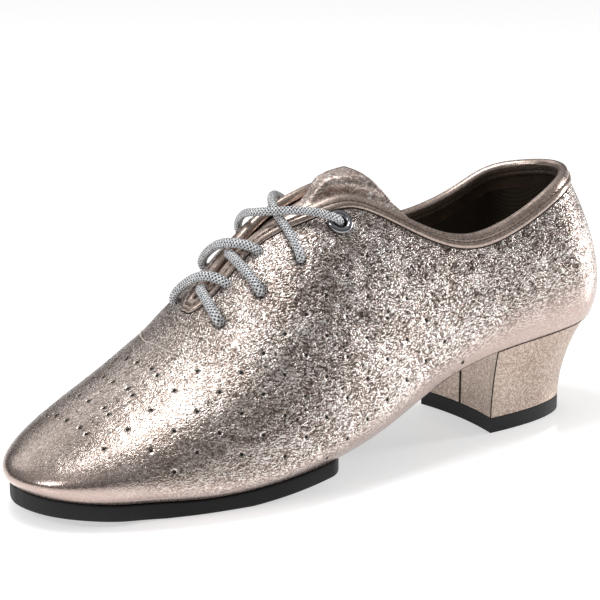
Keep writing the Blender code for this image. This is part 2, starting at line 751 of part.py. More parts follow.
def make_top_piece(finish):
    """Wearing piece under the heel."""
    verts, faces = heel_mesh([heel_tip_loop(0.0), heel_tip_loop(TOP_PIECE_THICKNESS)])
    return add_piece("heel_top_piece", verts, faces, finish)


# Eyelets and lacing

def make_eyelet(name, side, finish):
    """Turned metal ring in the top lace hole: a flange outside and a barrel through the wall."""
    point, normal = last_frame(*hole_place(len(HOLE_ROWS) - 1, side), side)
    bore, barrel, flange = EYELET_BORE / 2, EYELET_BARREL / 2, EYELET_DIAMETER / 2
    profile = [
        (bore, -WALL - GAP), (barrel, -WALL - GAP), (barrel, EYELET_FOOT), (flange, EYELET_FOOT),
        (flange, EYELET_FOOT + EYELET_RIM / 2), ((flange + bore) / 2, EYELET_FOOT + EYELET_RIM),
        (bore, EYELET_FOOT + EYELET_RIM / 2),
    ]
    across = unit(np.cross(normal, [0.0, 1.0, 0.0]))
    other = np.cross(normal, across)
    rings = []
    for angle in np.linspace(0, 2 * np.pi, EYELET_POINTS, endpoint=False):
        spoke = np.cos(angle) * across + np.sin(angle) * other
        rings.append([point + spoke * radius + normal * out for radius, out in profile])
    verts, faces = ring_loft(rings, closed=True)
    return add_piece(name, verts, faces, finish)


def strand(name, start, stop, out, finish):
    """Round cord over the facings between two places, each a share and a signed turn from the ridge."""
    steps = np.linspace(0, 1, CORD_STEPS)
    share = start[0] + (stop[0] - start[0]) * steps
    aside = start[1] + (stop[1] - start[1]) * steps
    point, normal = last_frame(share, 1 - np.abs(aside), np.where(aside < 0, -1.0, 1.0))
    path = point + normal * out
    along = unit(np.gradient(path, axis=0))
    across = unit(np.cross(along, normal))
    over = np.cross(across, along)
    angles = np.linspace(0, 2 * np.pi, CORD_SIDES, endpoint=False)
    rings = [
        [p + LACE_DIAMETER / 2 * (np.cos(a) * s + np.sin(a) * o) for a in angles]
        for p, s, o in zip(path, across, over)
    ]
    verts, faces = ring_loft(rings)
    return add_piece(name, verts, faces, finish)


def make_lace_crossings(finish):
    """Three crossings over the throat, each two strands joined where they cross."""
    out = GAP + BINDING_THICKNESS + GAP + LACE_DIAMETER / 2 + EYELET_RIM / 2
    for number in range(len(HOLE_ROWS) - 1):
        ends = {}
        for side in (-1.0, 1.0):
            low_share, low_turn = hole_place(number, side)
            high_share, high_turn = hole_place(number + 1, side)
            ends[side] = (low_share, side * (1 - low_turn)), (high_share, side * DIVE_SHARE * (1 - high_turn))
        over = strand(f"lace_crossing_{number + 1}", ends[1.0][0], ends[-1.0][1], out, finish)
        under = strand(f"under_strand_{number + 1}", ends[-1.0][0], ends[1.0][1], out, finish)
        add_boolean(over, hide_cutter(under), "UNION")


def main():
    clear_scene()
    leather = material("metallic_leather", (0.56, 0.47, 0.42), 0.36, 0.55)
    trim = material("binding_leather", (0.52, 0.44, 0.38), 0.38, 0.5)
    lining = material("lining_board", (0.20, 0.16, 0.11), 0.85)
    rubber = material("black_rubber", (0.018, 0.018, 0.020), 0.55)
    cover = material("heel_cover", (0.60, 0.50, 0.44), 0.45, 0.4)
    metal = material("nickel", (0.62, 0.62, 0.62), 0.22, 1.0)
    cord = material("metallic_cord", (0.55, 0.56, 0.58), 0.45, 0.5)
    ribs, normals = upper_ribs(RIBS)
    make_upper(ribs, normals, leather)
    make_binding(ribs, normals, trim)
    make_tongue(leather.copy())
    make_insole(lining)
    make_outsole(rubber)
    make_forefoot_pad(rubber.copy())
    make_heel(cover)
    make_top_piece(rubber.copy())
    make_eyelet("eyelet_near", -1.0, metal)
    make_eyelet("eyelet_far", 1.0, metal.copy())
    make_lace_crossings(cord)


main()
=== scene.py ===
# %% [markdown]
# # A ballroom practice shoe
# The imported model gives every solid piece its place and size. This script dresses it: each visible piece is
# made again as a finer surface from the same last, or keeps its solid. We begin by loading the imported
# model.

import bpy
import numpy as np
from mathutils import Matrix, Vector


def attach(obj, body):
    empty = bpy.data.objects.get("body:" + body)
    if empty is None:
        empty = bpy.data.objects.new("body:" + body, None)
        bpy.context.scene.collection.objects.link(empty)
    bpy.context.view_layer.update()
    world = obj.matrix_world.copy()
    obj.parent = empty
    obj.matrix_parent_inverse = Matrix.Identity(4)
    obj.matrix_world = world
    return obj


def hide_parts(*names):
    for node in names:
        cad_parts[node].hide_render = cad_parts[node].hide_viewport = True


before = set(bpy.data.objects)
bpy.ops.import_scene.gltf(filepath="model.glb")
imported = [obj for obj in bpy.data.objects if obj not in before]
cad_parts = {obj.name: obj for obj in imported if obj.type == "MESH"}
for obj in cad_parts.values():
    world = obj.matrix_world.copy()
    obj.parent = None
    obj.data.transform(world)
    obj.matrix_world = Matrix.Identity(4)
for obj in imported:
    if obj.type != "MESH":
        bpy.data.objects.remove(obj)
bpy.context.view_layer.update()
print("nodes:", sorted(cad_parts))

# %% [markdown]
# ## The last
# A shoemaker builds everything round a last, the wooden form of the foot. Here the last is a table of cross
# sections with smooth curves between them, so that every piece can ask it for points and for the direction
# that faces outwards. The sizes are those of the solid model, in metres.

# %% Sizes of the shoe
MM = 0.001
LENGTH = 245.0 * MM
BALL_WIDTH = 86.0 * MM
INSTEP_HEIGHT = 98.0 * MM
SOLE_EDGE_HEIGHT = 5.7 * MM
HEEL_RISE = 35.0 * MM
TOE_SPRING = 4.5 * MM
BACK_HEIGHT = 92.0 * MM
WALL = 1.6 * MM
GAP = 0.3 * MM
BINDING_THICKNESS = 0.7 * MM
BINDING_WIDTH = 4.2 * MM
OUTSOLE_THICKNESS = 1.8 * MM
HEEL_BREAST_SHARE = 0.2243
HEEL_SEAT_SHARE = 0.2343
HEEL_TIP_WIDTH = 41.8 * MM
HEEL_TIP_LENGTH = 43.5 * MM
BREAST_HOLLOW = 2.0 * MM
BREAST_SEAT_HOLLOW = 4.4 * MM
TOP_PIECE_THICKNESS = 5.5 * MM
LACE_DIAMETER = 4.0 * MM
EYELET_DIAMETER = 9.4 * MM
EYELET_BORE = 4.6 * MM

# %% Tables of the last: heel's back first, toe's tip last
LAST_COLUMNS = "share near far pitch spring swell crown tuck full ridge".split()
LAST_ROWS = np.array([
    [0.00, .680, .640, 1.000, 0.00, .178, .600, .454, -.45, .000],
    [0.05, .305, .292, 0.970, 0.00, .172, .600, .433, -.48, .000],
    [0.12, .373, .353, 0.900, 0.00, .163, .605, .393, -.52, .000],
    [0.22, .367, .345, 0.815, 0.00, .147, .630, .339, -.52, .006],
    [0.34, .384, .338, 0.640, 0.00, .121, .670, .290, -.36, .012],
    [0.46, .445, .368, 0.355, 0.00, .096, .715, .245, -.18, .023],
    [0.58, .507, .448, 0.147, 0.00, .088, .668, .189, -.10, .035],
    [0.68, .514, .486, 0.028, 0.00, .085, .515, .148, -.02, .046],
    [0.78, .468, .468, 0.000, 0.02, .078, .340, .127, .04, .046],
    [0.87, .384, .403, 0.000, 0.38, .068, .212, .116, .05, .046],
    [0.94, .270, .309, 0.000, 0.82, .050, .111, .108, .05, .040],
    [1.00, .610, .640, 0.000, 1.10, .045, .160, .170, .00, .035],
])
BACK_COLUMNS = "height inset".split()
BACK_ROWS = np.array([
    [0.38, .0105],
    [0.50, .0000],
    [0.61, .0022],
    [0.74, .0134],
    [0.87, .0300],
    [1.00, .0512],
    [1.18, .0810],
])
RIB_COLUMNS = "foot top near far".split()
RIB_ROWS = np.array([
    [1.000, .690, 1.000, 1.000],
    [0.860, .682, 0.972, 0.972],
    [0.770, .655, 0.960, 0.958],
    [0.650, .590, 0.948, 0.935],
    [0.540, .510, 0.855, 0.860],
    [0.455, .440, 0.785, 0.800],
    [0.390, .402, 0.665, 0.670],
    [0.320, .350, 0.480, 0.470],
    [0.215, .262, 0.328, 0.300],
    [0.100, .125, 0.366, 0.325],
    [0.000, .000, 0.378, 0.378],
])
HOLE_COLUMNS = "share near far".split()
HOLE_ROWS = np.array([
    [0.691, .773, .795],
    [0.630, .703, .725],
    [0.558, .663, .675],
    [0.470, .683, .640],
])


# %% Curves through a table's rows
def column(rows, names, name):
    """One named column of a table."""
    return rows[:, names.index(name)]


def spline(at, value, x):
    """Natural cubic spline through the pairs of at and value, read at x."""
    at = np.asarray(at, float)
    value = np.asarray(value, float)
    step = np.diff(at)
    matrix = np.eye(len(at))
    right_side = np.zeros(len(at))
    for i in range(1, len(at) - 1):
        matrix[i, i - 1:i + 2] = step[i - 1], 2 * (step[i - 1] + step[i]), step[i]
        right_side[i] = 6 * ((value[i + 1] - value[i]) / step[i] - (value[i] - value[i - 1]) / step[i - 1])
    bend = np.linalg.solve(matrix, right_side)
    x = np.asarray(x, float)
    i = np.clip(np.searchsorted(at, x) - 1, 0, len(at) - 2)
    left = (at[i + 1] - x) / step[i]
    right = (x - at[i]) / step[i]
    curve = (left ** 3 - left) * bend[i] + (right ** 3 - right) * bend[i + 1]
    return left * value[i] + right * value[i + 1] + curve * step[i] ** 2 / 6


def spline_path(at, points, x):
    """Natural cubic spline through a line of points."""
    return np.stack([spline(at, points[:, axis], x) for axis in range(3)], -1)


def path_length(path):
    """Metres along a path at each of its points."""
    return np.concatenate([[0.0], np.cumsum(np.linalg.norm(np.diff(path, axis=0), axis=1))])


def read_path(x, run, path):
    """A path's points, or its normals, at distances x along it."""
    return np.stack([np.interp(x, run, path[:, axis]) for axis in range(3)], -1)


def both_ends(share):
    """Height of a half ellipse over the length: 0 at heel and toe, 1 half way."""
    share = np.clip(share, 0, 1)
    return 2 * np.sqrt(share * (1 - share))


def toe_end(share):
    """Close to 1 along the foot, and round down to 0 at the toe's tip."""
    return np.sqrt(1 - np.clip(share, 0, 1) ** 4)


def last_column(name, share, rounding=None):
    """A column of the last's table along the foot, its end rounded where a rounding is given."""
    at = column(LAST_ROWS, LAST_COLUMNS, "share")
    value = column(LAST_ROWS, LAST_COLUMNS, name).copy()
    if rounding is None:
        return spline(at, value, share)
    inner = rounding(at) > 1e-6
    value[inner] /= rounding(at[inner])
    return spline(at, value, share) * rounding(share)


def section(share):
    """The sizes of the last's cross section at a share of the length."""
    share = np.asarray(share, float)
    lift = last_column("pitch", share) * HEEL_RISE + last_column("spring", share) * TOE_SPRING
    return {
        "near": last_column("near", share, both_ends) * BALL_WIDTH,
        "far": last_column("far", share, both_ends) * BALL_WIDTH,
        "ridge": last_column("ridge", share) * BALL_WIDTH,
        "edge": SOLE_EDGE_HEIGHT + lift,
        "swell": last_column("swell", share) * INSTEP_HEIGHT,
        "crown": last_column("crown", share, toe_end) * INSTEP_HEIGHT,
        "tuck": last_column("tuck", share, toe_end) * INSTEP_HEIGHT,
        "full": last_column("full", share),
    }


print("widest section:", round(float(section(0.68)["near"] + section(0.68)["far"]) / MM, 1), "mm")


# %% Points on the last and inside it
def back_inset(height):
    """How far the heel's back lies inside its hindmost point at a height above the floor."""
    at = column(BACK_ROWS, BACK_COLUMNS, "height")
    level = np.clip(np.asarray(height, float) / BACK_HEIGHT, at[0], at[-1])
    return spline(at, column(BACK_ROWS, BACK_COLUMNS, "inset"), level) * LENGTH


def x_at(share, height):
    """X of a share of the length, counted from the heel's back at that height."""
    inset = back_inset(height)
    return LENGTH / 2 - inset - share * (LENGTH - inset)


def share_at(x, height):
    """Share of the length at X, counted from the heel's back at that height."""
    inset = back_inset(height)
    return (LENGTH / 2 - inset - x) / (LENGTH - inset)


def half_at(size, side):
    """A section's half width from the ridge line, near where side is below 0, far elsewhere."""
    return np.where(side < 0, size["near"] + size["ridge"], size["far"] - size["ridge"])


def on_last(share, turn, side):
    """Point on the last: y = half cos(a) fullness, z = edge + swell + crown sin(a), a = turn * 90 degrees."""
    share, turn, side = np.broadcast_arrays(np.asarray(share, float), turn, side)
    size = section(share)
    angle = turn * np.pi / 2
    up = np.sin(angle) >= 0
    height = size["edge"] + size["swell"] + np.sin(angle) * np.where(up, size["crown"], size["tuck"])
    half = half_at(size, side)
    fullness = 1 + np.where(up, size["full"], 0.0) * np.sin(angle) ** 2
    y = size["ridge"] + side * half * np.cos(angle) * fullness
    return np.stack([x_at(share, height), y, height], -1)


def inside_last(point):
    """True where a point lies inside the last."""
    share = share_at(point[..., 0], point[..., 2])
    size = section(np.clip(share, 1e-6, 1 - 1e-6))
    above = point[..., 2] - size["edge"] - size["swell"]
    up = above >= 0
    level = np.where(up, above / size["crown"], -above / size["tuck"])
    aside = point[..., 1] - size["ridge"]
    half = half_at(size, aside)
    fullness = 1 + np.where(up, size["full"], 0.0) * level ** 2
    half = half * np.sqrt(np.clip(1 - level ** 2, 0, None)) * fullness
    return (level < 1) & (share > 0) & (share < 1) & (np.abs(aside) < half)


def unit(vector):
    """Vectors scaled to length 1."""
    return vector / np.maximum(np.linalg.norm(vector, axis=-1, keepdims=True), 1e-12)


def last_frame(share, turn, side):
    """Point on the last with its outward normal, the cross product of two small steps."""
    small = 1e-4
    point = on_last(share, turn, side)
    along = on_last(share + small, turn, side) - point
    up = on_last(share, turn + small, side) - point
    return point, unit(np.cross(along, up)) * np.asarray(side, float)[..., None]


def charted_frame(share, aside):
    """Point and normal at a share and aside of the ridge, from -1 on the near side to 1 on the far one."""
    return last_frame(share, 1 - np.abs(aside), np.where(aside < 0, -1.0, 1.0))


def cast(origin, direction, halvings=26):
    """Where a ray from inside the last leaves it, found by halving."""
    near = np.zeros(origin.shape[:-1])
    far = np.full(origin.shape[:-1], LENGTH)
    for _ in range(halvings):
        middle = (near + far) / 2
        within = inside_last(origin + direction * middle[..., None])
        near = np.where(within, middle, near)
        far = np.where(within, far, middle)
    return origin + direction * near[..., None]


# %% The feather edge, where the upper meets the sole
def feather_half(share):
    """Half widths of the feather edge, measured from the ridge line."""
    size = section(share)
    narrow = np.sqrt(np.clip(1 - (size["swell"] / size["tuck"]) ** 2, 0, None))
    return (size["near"] + size["ridge"]) * narrow, (size["far"] - size["ridge"]) * narrow


def feather_tip():
    """Share at which the feather edge closes at the toe: the tuck there equals the swell."""
    low, high = 0.9, 1.0 - 1e-9
    for _ in range(40):
        middle = (low + high) / 2
        size = section(middle)
        if size["tuck"] > size["swell"]:
            low = middle
        else:
            high = middle
    return low


FEATHER_TIP = feather_tip()


def feather_point(share, side):
    """Point on the feather edge."""
    size = section(share)
    near, far = feather_half(share)
    y = size["ridge"] + np.where(np.asarray(side) < 0, -near, far)
    return np.stack([x_at(share, size["edge"]), y, size["edge"]], -1)


def feather_loop(count=1441):
    """The feather edge as a loop from the toe round the near side, and the share of its length so far."""
    angle = np.linspace(0, 2 * np.pi, count)
    share = FEATHER_TIP * (1 + np.cos(angle)) / 2
    side = np.where(angle < np.pi, -1.0, 1.0)
    points = feather_point(np.clip(share, 1e-9, FEATHER_TIP), side)
    run = path_length(points)
    return share, points, run / run[-1]


print("feather edge closes at share", round(FEATHER_TIP, 3))


# %% Ribs of the upper, from the feather edge to the opening
FINE_ROWS = 96
RAY_SHARES = 0.14, 0.88
RAY_HEIGHT_SHARE = 0.25


def closed_spline(at, points, x):
    """Cubic spline through a closed loop of points, whose places run from 0 to 1."""
    wrap = 4
    at = np.concatenate([at[-wrap:] - 1, at, at[:wrap] + 1])
    points = np.concatenate([points[-wrap:], points, points[:wrap]])
    return spline_path(at, points, x)


def upper_ribs(count):
    """Ribs of the outer face: rays from the middle of the foot turn from feather edge to opening."""
    share, loop, run = feather_loop()
    half = len(run) // 2
    foot = np.clip(column(RIB_ROWS, RIB_COLUMNS, "foot"), 0, 1) * FEATHER_TIP
    near_run = np.interp(-foot, -share[:half + 1], run[:half + 1])
    far_run = np.interp(foot[1:-1], share[half:], run[half:])
    top = column(RIB_ROWS, RIB_COLUMNS, "top")
    near_top = on_last(np.clip(top, 1e-9, 1), column(RIB_ROWS, RIB_COLUMNS, "near"), -1.0)
    far_top = on_last(top[1:-1], column(RIB_ROWS, RIB_COLUMNS, "far")[1:-1], 1.0)
    places = np.concatenate([near_run, far_run[::-1]])
    tops = np.concatenate([near_top, far_top[::-1]])
    at = np.arange(count) / count
    edge = closed_spline(places, tops, at)
    feather = read_path(at, run, loop)
    middle = (share_at(edge[:, 0], edge[:, 2]) + share_at(feather[:, 0], feather[:, 2])) / 2
    middle = np.clip(middle, *RAY_SHARES)
    size = section(middle)
    height = size["edge"] + size["swell"] + RAY_HEIGHT_SHARE * size["crown"]
    origin = np.stack([x_at(middle, height), size["ridge"], height], -1)
    start = unit(feather - origin)
    stop = unit(edge - origin)
    angle = np.arccos(np.clip((start * stop).sum(-1), -1, 1))[:, None, None]
    turn = np.linspace(0, 1, FINE_ROWS)[None, :, None]
    ray = np.sin((1 - turn) * angle) * start[:, None] + np.sin(turn * angle) * stop[:, None]
    ribs = cast(np.broadcast_to(origin[:, None], ray.shape), unit(ray))
    ribs[:, 0] = feather
    along = np.gradient(ribs, axis=1)
    around = np.roll(ribs, -1, axis=0) - np.roll(ribs, 1, axis=0)
    return ribs, unit(np.cross(around, along))


RIBS = 400
ribs, rib_normals = upper_ribs(RIBS)
rib_steps = np.linalg.norm(np.diff(ribs, axis=1), axis=2)
from_top = np.concatenate([np.cumsum(rib_steps[:, ::-1], axis=1)[:, ::-1], np.zeros((RIBS, 1))], axis=1)
print("longest rib:", round(from_top.max() / MM, 1), "mm")


# %% Reading a rib at a depth below the opening
def read_ribs(down, out=0.0):
    """Points on all ribs at depths down from the opening and a distance out from the leather's face."""
    down = np.broadcast_to(down, (RIBS,))
    reach = np.maximum(down, 0.0)
    rows = np.array([np.interp(-reach[k], -from_top[k], np.arange(FINE_ROWS)) for k in range(RIBS)])
    low = np.clip(np.floor(rows).astype(int), 0, FINE_ROWS - 2)
    part = (rows - low)[:, None]
    pick = np.arange(RIBS)
    points = ribs[pick, low] * (1 - part) + ribs[pick, low + 1] * part
    normal = unit(rib_normals[pick, low] * (1 - part) + rib_normals[pick, low + 1] * part)
    beyond = unit(ribs[:, -1] - ribs[:, -3]) * np.maximum(-down, 0.0)[:, None]
    return points + beyond + normal * np.asarray(out)[..., None], normal


# %% [markdown]
# ## Turning arrays into meshes
# Every surface here is a grid of points worked out with numpy. One helper turns a grid into quads, with a UV
# map in real metres where a pattern has to follow the surface, such as the braid of a lace.

# %% Meshes from arrays
def mesh_piece(name, points, faces, finishes, uv=None, face_finish=None, sharp=None):
    """One piece from points and lists of indices, smooth but for edges bent more than sharp degrees."""
    mesh = bpy.data.meshes.new(name)
    faces = faces.tolist() if isinstance(faces, np.ndarray) else faces
    mesh.from_pydata(np.asarray(points).reshape(-1, 3).tolist(), [], faces)
    if uv is not None:
        layer = mesh.uv_layers.new(name="surface")
        layer.data.foreach_set("uv", np.asarray(uv, np.float32).ravel())
    piece = bpy.data.objects.new(name, mesh)
    for finish in finishes:
        mesh.materials.append(finish)
    if face_finish is not None:
        mesh.polygons.foreach_set("material_index", np.asarray(face_finish, np.int32))
    mesh.update()
    mesh.validate()
    bpy.context.scene.collection.objects.link(piece)
    mesh.shade_smooth()
    if sharp:
        mesh.set_sharp_from_angle(angle=np.radians(sharp))
    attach(piece, "root")
    print(f"{name}: {len(mesh.vertices)} points, {len(mesh.polygons)} faces")
    return piece


def grid_quads(count_u, count_v, wrap_u, wrap_v, start=0, flip=False):
    """Quads between neighbours of a grid, point number i * count_v + j, and each quad's cell (i, j)."""
    i, j = np.meshgrid(
        np.arange(count_u if wrap_u else count_u - 1),
        np.arange(count_v if wrap_v else count_v - 1), indexing="ij",
    )
    i, j = i.ravel(), j.ravel()
    i2, j2 = (i + 1) % count_u, (j + 1) % count_v
    quads = np.stack([i * count_v + j, i2 * count_v + j, i2 * count_v + j2, i * count_v + j2], 1) + start
    return (quads[:, ::-1] if flip else quads), i, j


def grid_piece(name, grid, wrap_u, wrap_v, finish, u=None, v=None, flip=False):
    """A piece from one grid of points; u and v are metres along its two ways, one longer where it wraps."""
    count_u, count_v = grid.shape[:2]
    quads, i, j = grid_quads(count_u, count_v, wrap_u, wrap_v, flip=flip)
    uv = None
    if u is not None:
        corners = [(i, j), (i + 1, j), (i + 1, j + 1), (i, j + 1)]
        if flip:
            corners = corners[::-1]
        uv = np.stack([np.stack([u[a], v[b]], -1) for a, b in corners], 1)
    return mesh_piece(name, grid, quads, [finish], uv=uv)


def capped_piece(name, loops, finish, sharp):
    """A piece through a stack of loops, closed by a flat cap at either end."""
    count, size = loops.shape[:2]
    faces = grid_quads(count, size, False, True)[0].tolist()
    faces.append(list(range(size))[::-1])
    faces.append([(count - 1) * size + k for k in range(size)])
    return mesh_piece(name, loops, faces, [finish], sharp=sharp)


def tube(path, radius_u, radius_v, upward, sides):
    """Rings of an oval profile carried along a path: p + a cos(t) across + b sin(t) over."""
    along = unit(np.gradient(path, axis=0))
    across = unit(np.cross(along, upward))
    over = np.cross(across, along)
    t = np.linspace(0, 2 * np.pi, sides, endpoint=False)
    radius_u = np.broadcast_to(radius_u, (len(path),))[:, None, None]
    radius_v = np.broadcast_to(radius_v, (len(path),))[:, None, None]
    wide = radius_u * np.cos(t)[None, :, None] * across[:, None]
    high = radius_v * np.sin(t)[None, :, None] * over[:, None]
    return path[:, None] + wide + high


# %% [markdown]
# ## Materials
# Colours are written as sRGB hex values, as a picker shows them, and one function turns them to the linear
# values that the shader works in. A second function adds a node with its settings and links in one line.

# %% Colour and node helpers
def linear(code):
    """Linear red, green and blue of an sRGB hex colour."""
    value = np.array([int(code[i:i + 2], 16) for i in (1, 3, 5)]) / 255
    low = value / 12.92
    high = ((value + 0.055) / 1.055) ** 2.4
    return (*np.where(value <= 0.04045, low, high).tolist(), 1.0)


def per_unit(*sizes_mm):
    """Mapping scale that makes one unit of a pattern as long as the sizes, in millimetres."""
    return tuple(1 / (size * MM) for size in (sizes_mm * 3)[:3])


def feed(node, **inputs):
    """Gives a node's inputs, by name or as i0, i1 and so on, a plain value or another node's socket."""
    for name, value in inputs.items():
        key = int(name[1:]) if name[0] == "i" and name[1:].isdigit() else name.replace("_", " ")
        if isinstance(value, bpy.types.NodeSocket):
            node.id_data.links.new(value, node.inputs[key])
        else:
            node.inputs[key].default_value = value


def add(tree, kind, settings=(), out=0, stops=(), **inputs):
    """Adds a node with its settings, its ramp's stops (place, hex) and its inputs, and gives an output."""
    node = tree.nodes.new("ShaderNode" + kind)
    for name, value in dict(settings).items():
        setattr(node, name, value)
    marks = node.color_ramp.elements if stops else []
    while len(marks) < len(stops):
        marks.new(0.5)
    for element, (place, code) in zip(marks, stops):
        element.position = place
        element.color = linear(code)
    feed(node, **inputs)
    return node.outputs[out]


def new_finish(name, **values):
    """A material, its node tree and its Principled shader, whose plain values sit on its own sockets."""
    finish = bpy.data.materials.new(name)
    finish.use_nodes = True
    shader = finish.node_tree.nodes["Principled BSDF"]
    feed(shader, **values)
    return finish, finish.node_tree, shader


MULTIPLY = {"operation": "MULTIPLY"}
MULTIPLY_ADD = {"operation": "MULTIPLY_ADD"}
MIX_COLOUR = {"data_type": "RGBA"}

# %% [markdown]
# ### Crackled metallic leather
# The leather is calf, foil-coated in champagne and milled, so that the foil breaks into short crinkles that
# run along the shoe, under two millimetres long and under one wide. Each one mirrors a light or the dark of
# the room, and the surface sparkles. A stretched noise gives the crinkles to relief and colour alike, and a
# cloud lets them come and go. The crinkles are drawn a little coarser than the real ones, so that they can
# be seen. Towards the sole, in a band that an attribute holding the height above the feather edge marks out,
# the crinkles give way to an even tone and a flatter bump: a painted reflection of the bright floor. Over the
# toe they give way to an even tone and a flatter bump too, which stands in for the broad highlight that
# washes them out there. Small pinholes come from an attribute that holds each point's offset from the
# nearest.

# %% Crackled leather
PINHOLE_RADIUS = 0.70
FLOOR_REFLECTION_BAND = 4.5
FLOOR_REFLECTION_FADE = 17.0
TOE_HIGHLIGHT_FULL = -0.105
TOE_HIGHLIGHT_END = -0.030
FOIL_METALLIC = 0.88
TONE_PLACES = 0.38, 0.47, 0.55, 0.64


def crackled_leather(name, tones, rough, relief_mm, crinkle_mm=(1.6, 0.62, 0.58), on_upper=False):
    """Stretched noise crinkles the foil; tones are its colours from crack to crest."""
    finish, tree, shader = new_finish(name, Metallic=FOIL_METALLIC, Coat_Weight=0.06, Coat_Roughness=0.3)
    place = add(tree, "TexCoord", out="Object")
    wide = add(tree, "Mapping", Vector=place, Scale=per_unit(7.0))
    bend = add(tree, "TexNoise", out="Color", Vector=wide, Scale=1.0, Detail=2.0)
    shift = add(tree, "VectorMath", {"operation": "SCALE"}, i0=bend, Scale=0.006)
    bent = add(tree, "VectorMath", {"operation": "ADD"}, i0=place, i1=shift)
    stretched = add(tree, "Mapping", Vector=bent, Scale=per_unit(*crinkle_mm))
    crinkle = add(tree, "TexNoise", Vector=stretched, Scale=1.0, Detail=3.0)
    fine = add(tree, "Mapping", Vector=place, Scale=per_unit(0.5))
    speck = add(tree, "TexNoise", Vector=fine, Scale=1.0, Detail=1.0)
    broad = add(tree, "Mapping", Vector=place, Scale=per_unit(15.0))
    cloud = add(tree, "TexNoise", Vector=broad, Scale=1.0, Detail=3.0)
    mixed = add(tree, "Math", MULTIPLY_ADD, i0=speck, i1=0.5, i2=crinkle)
    mixed = add(tree, "Math", MULTIPLY_ADD, i0=cloud, i1=0.25, i2=mixed)
    mixed = add(tree, "Math", {"operation": "SUBTRACT"}, i0=mixed, i1=0.375)
    colour = add(tree, "ValToRGB", stops=list(zip(TONE_PLACES, tones)), Fac=mixed)
    height = add(tree, "Math", MULTIPLY_ADD, i0=speck, i1=0.35, i2=crinkle)
    gloss = add(tree, "MapRange", Value=speck, From_Min=0.3, From_Max=0.7, To_Min=rough - 0.05,
                To_Max=rough + 0.12)
    if on_upper:
        level = add(tree, "Attribute", {"attribute_name": "edge_height"}, out="Fac")
        above = add(tree, "MapRange", Value=level, From_Min=FLOOR_REFLECTION_BAND, From_Max=FLOOR_REFLECTION_FADE, To_Min=0.12)
        ahead = add(tree, "SeparateXYZ", out="X", Vector=place)
        off_toe_highlight = add(tree, "MapRange", Value=ahead, From_Min=TOE_HIGHLIGHT_FULL, From_Max=TOE_HIGHLIGHT_END, To_Min=0.35)
        # Painted light: #BFAEA4 over the toe stands in for the broad highlight there, and #C2ADA5 towards the
        # sole is a painted reflection of the bright floor; both also flatten the bump.
        for share, flat in ((off_toe_highlight, "#BFAEA4"), (above, "#C2ADA5")):
            colour = add(tree, "Mix", MIX_COLOUR, out=2, i0=share, i6=linear(flat), i7=colour)
            height = add(tree, "Math", MULTIPLY, i0=height, i1=share)
        offset = add(tree, "Attribute", {"attribute_name": "pinhole"}, out="Vector")
        away = add(tree, "VectorMath", {"operation": "LENGTH"}, out="Value", i0=offset)
        rim, dent = [
            add(tree, "MapRange", Value=away, From_Min=PINHOLE_RADIUS * low, From_Max=PINHOLE_RADIUS * high)
            for low, high in ((0.85, 1.15), (0.7, 1.9))
        ]
        # Painted shade: inside each pinhole the leather turns near black and dull, the dark lining seen
        # through the hole deepened by the shade within it.
        colour = add(tree, "Mix", MIX_COLOUR, out=2, i0=rim, i6=linear("#0C0908"), i7=colour)
        height = add(tree, "Math", MULTIPLY_ADD, i0=dent, i1=0.8, i2=height)
        gloss = add(tree, "Mix", {"data_type": "FLOAT"}, i0=rim, i2=0.9, i3=gloss)
        feed(shader, Metallic=add(tree, "Math", MULTIPLY, i0=rim, i1=FOIL_METALLIC))
    bump = add(tree, "Bump", Height=height, Strength=1.0, Distance=relief_mm * MM)
    feed(shader, Base_Color=colour, Roughness=gloss, Normal=bump)
    return finish


upper_leather = crackled_leather("crackled_foil_leather", ("#5E5048", "#A09087", "#D2C5BE", "#FFFAF6"),
                                 0.20, 0.40, on_upper=True)
heel_leather = crackled_leather("heel_cover_leather", ("#A08D80", "#B7A497", "#C6B4A8", "#D6C6BB"),
                                0.42, 0.08, (0.8, 0.8, 0.8))
tongue_leather = crackled_leather("soft_foil_tongue", ("#A08F86", "#C3B1A8", "#D6C6BE", "#FBF2EC"),
                                  0.38, 0.12, (1.6, 0.8, 0.8))
print("foil leathers made:", len(bpy.data.materials))

# %% [markdown]
# ### The plainer materials
# The binding and the band round the inside of the collar are cut from the same hide where the foil is smooth,
# so they show soft streaks of light; the band inside the collar is given darker tones, painted shade of the
# inside of the shoe. The lining is a dark woven twill, which stays dull; its threads are a third of a
# millimetre apart, and are drawn at about half a millimetre. The sole and the top piece are moulded black
# rubber, matt with a fine pebble. The eyelets are brass, nickel-plated and polished. The lace is a braid with
# silver thread, so that it glints in flecks.

# %% Smooth foil leather, lining, rubber, nickel and braid
def smooth_leather(name, light, dark, rough, grain_mm):
    """Foil over fine grain: noise in the bump and a slight change of colour."""
    finish, tree, shader = new_finish(name, Metallic=0.8, Coat_Weight=0.15, Coat_Roughness=0.3)
    place = add(tree, "TexCoord", out="Object")
    fine = add(tree, "Mapping", Vector=place, Scale=per_unit(grain_mm))
    grain = add(tree, "TexNoise", Vector=fine, Scale=1.0, Detail=4.0)
    broad = add(tree, "Mapping", Vector=place, Scale=per_unit(9.0))
    cloud = add(tree, "TexNoise", Vector=broad, Scale=1.0, Detail=2.0)
    both = add(tree, "Math", MULTIPLY_ADD, i0=cloud, i1=0.5, i2=grain)
    colour = add(tree, "ValToRGB", stops=((0.45, dark), (0.95, light)), Fac=both)
    gloss = add(tree, "MapRange", Value=grain, From_Min=0.3, From_Max=0.7, To_Min=rough - 0.06,
                To_Max=rough + 0.1)
    bump = add(tree, "Bump", Height=grain, Strength=0.35, Distance=0.08 * MM)
    feed(shader, Base_Color=colour, Roughness=gloss, Normal=bump)
    return finish


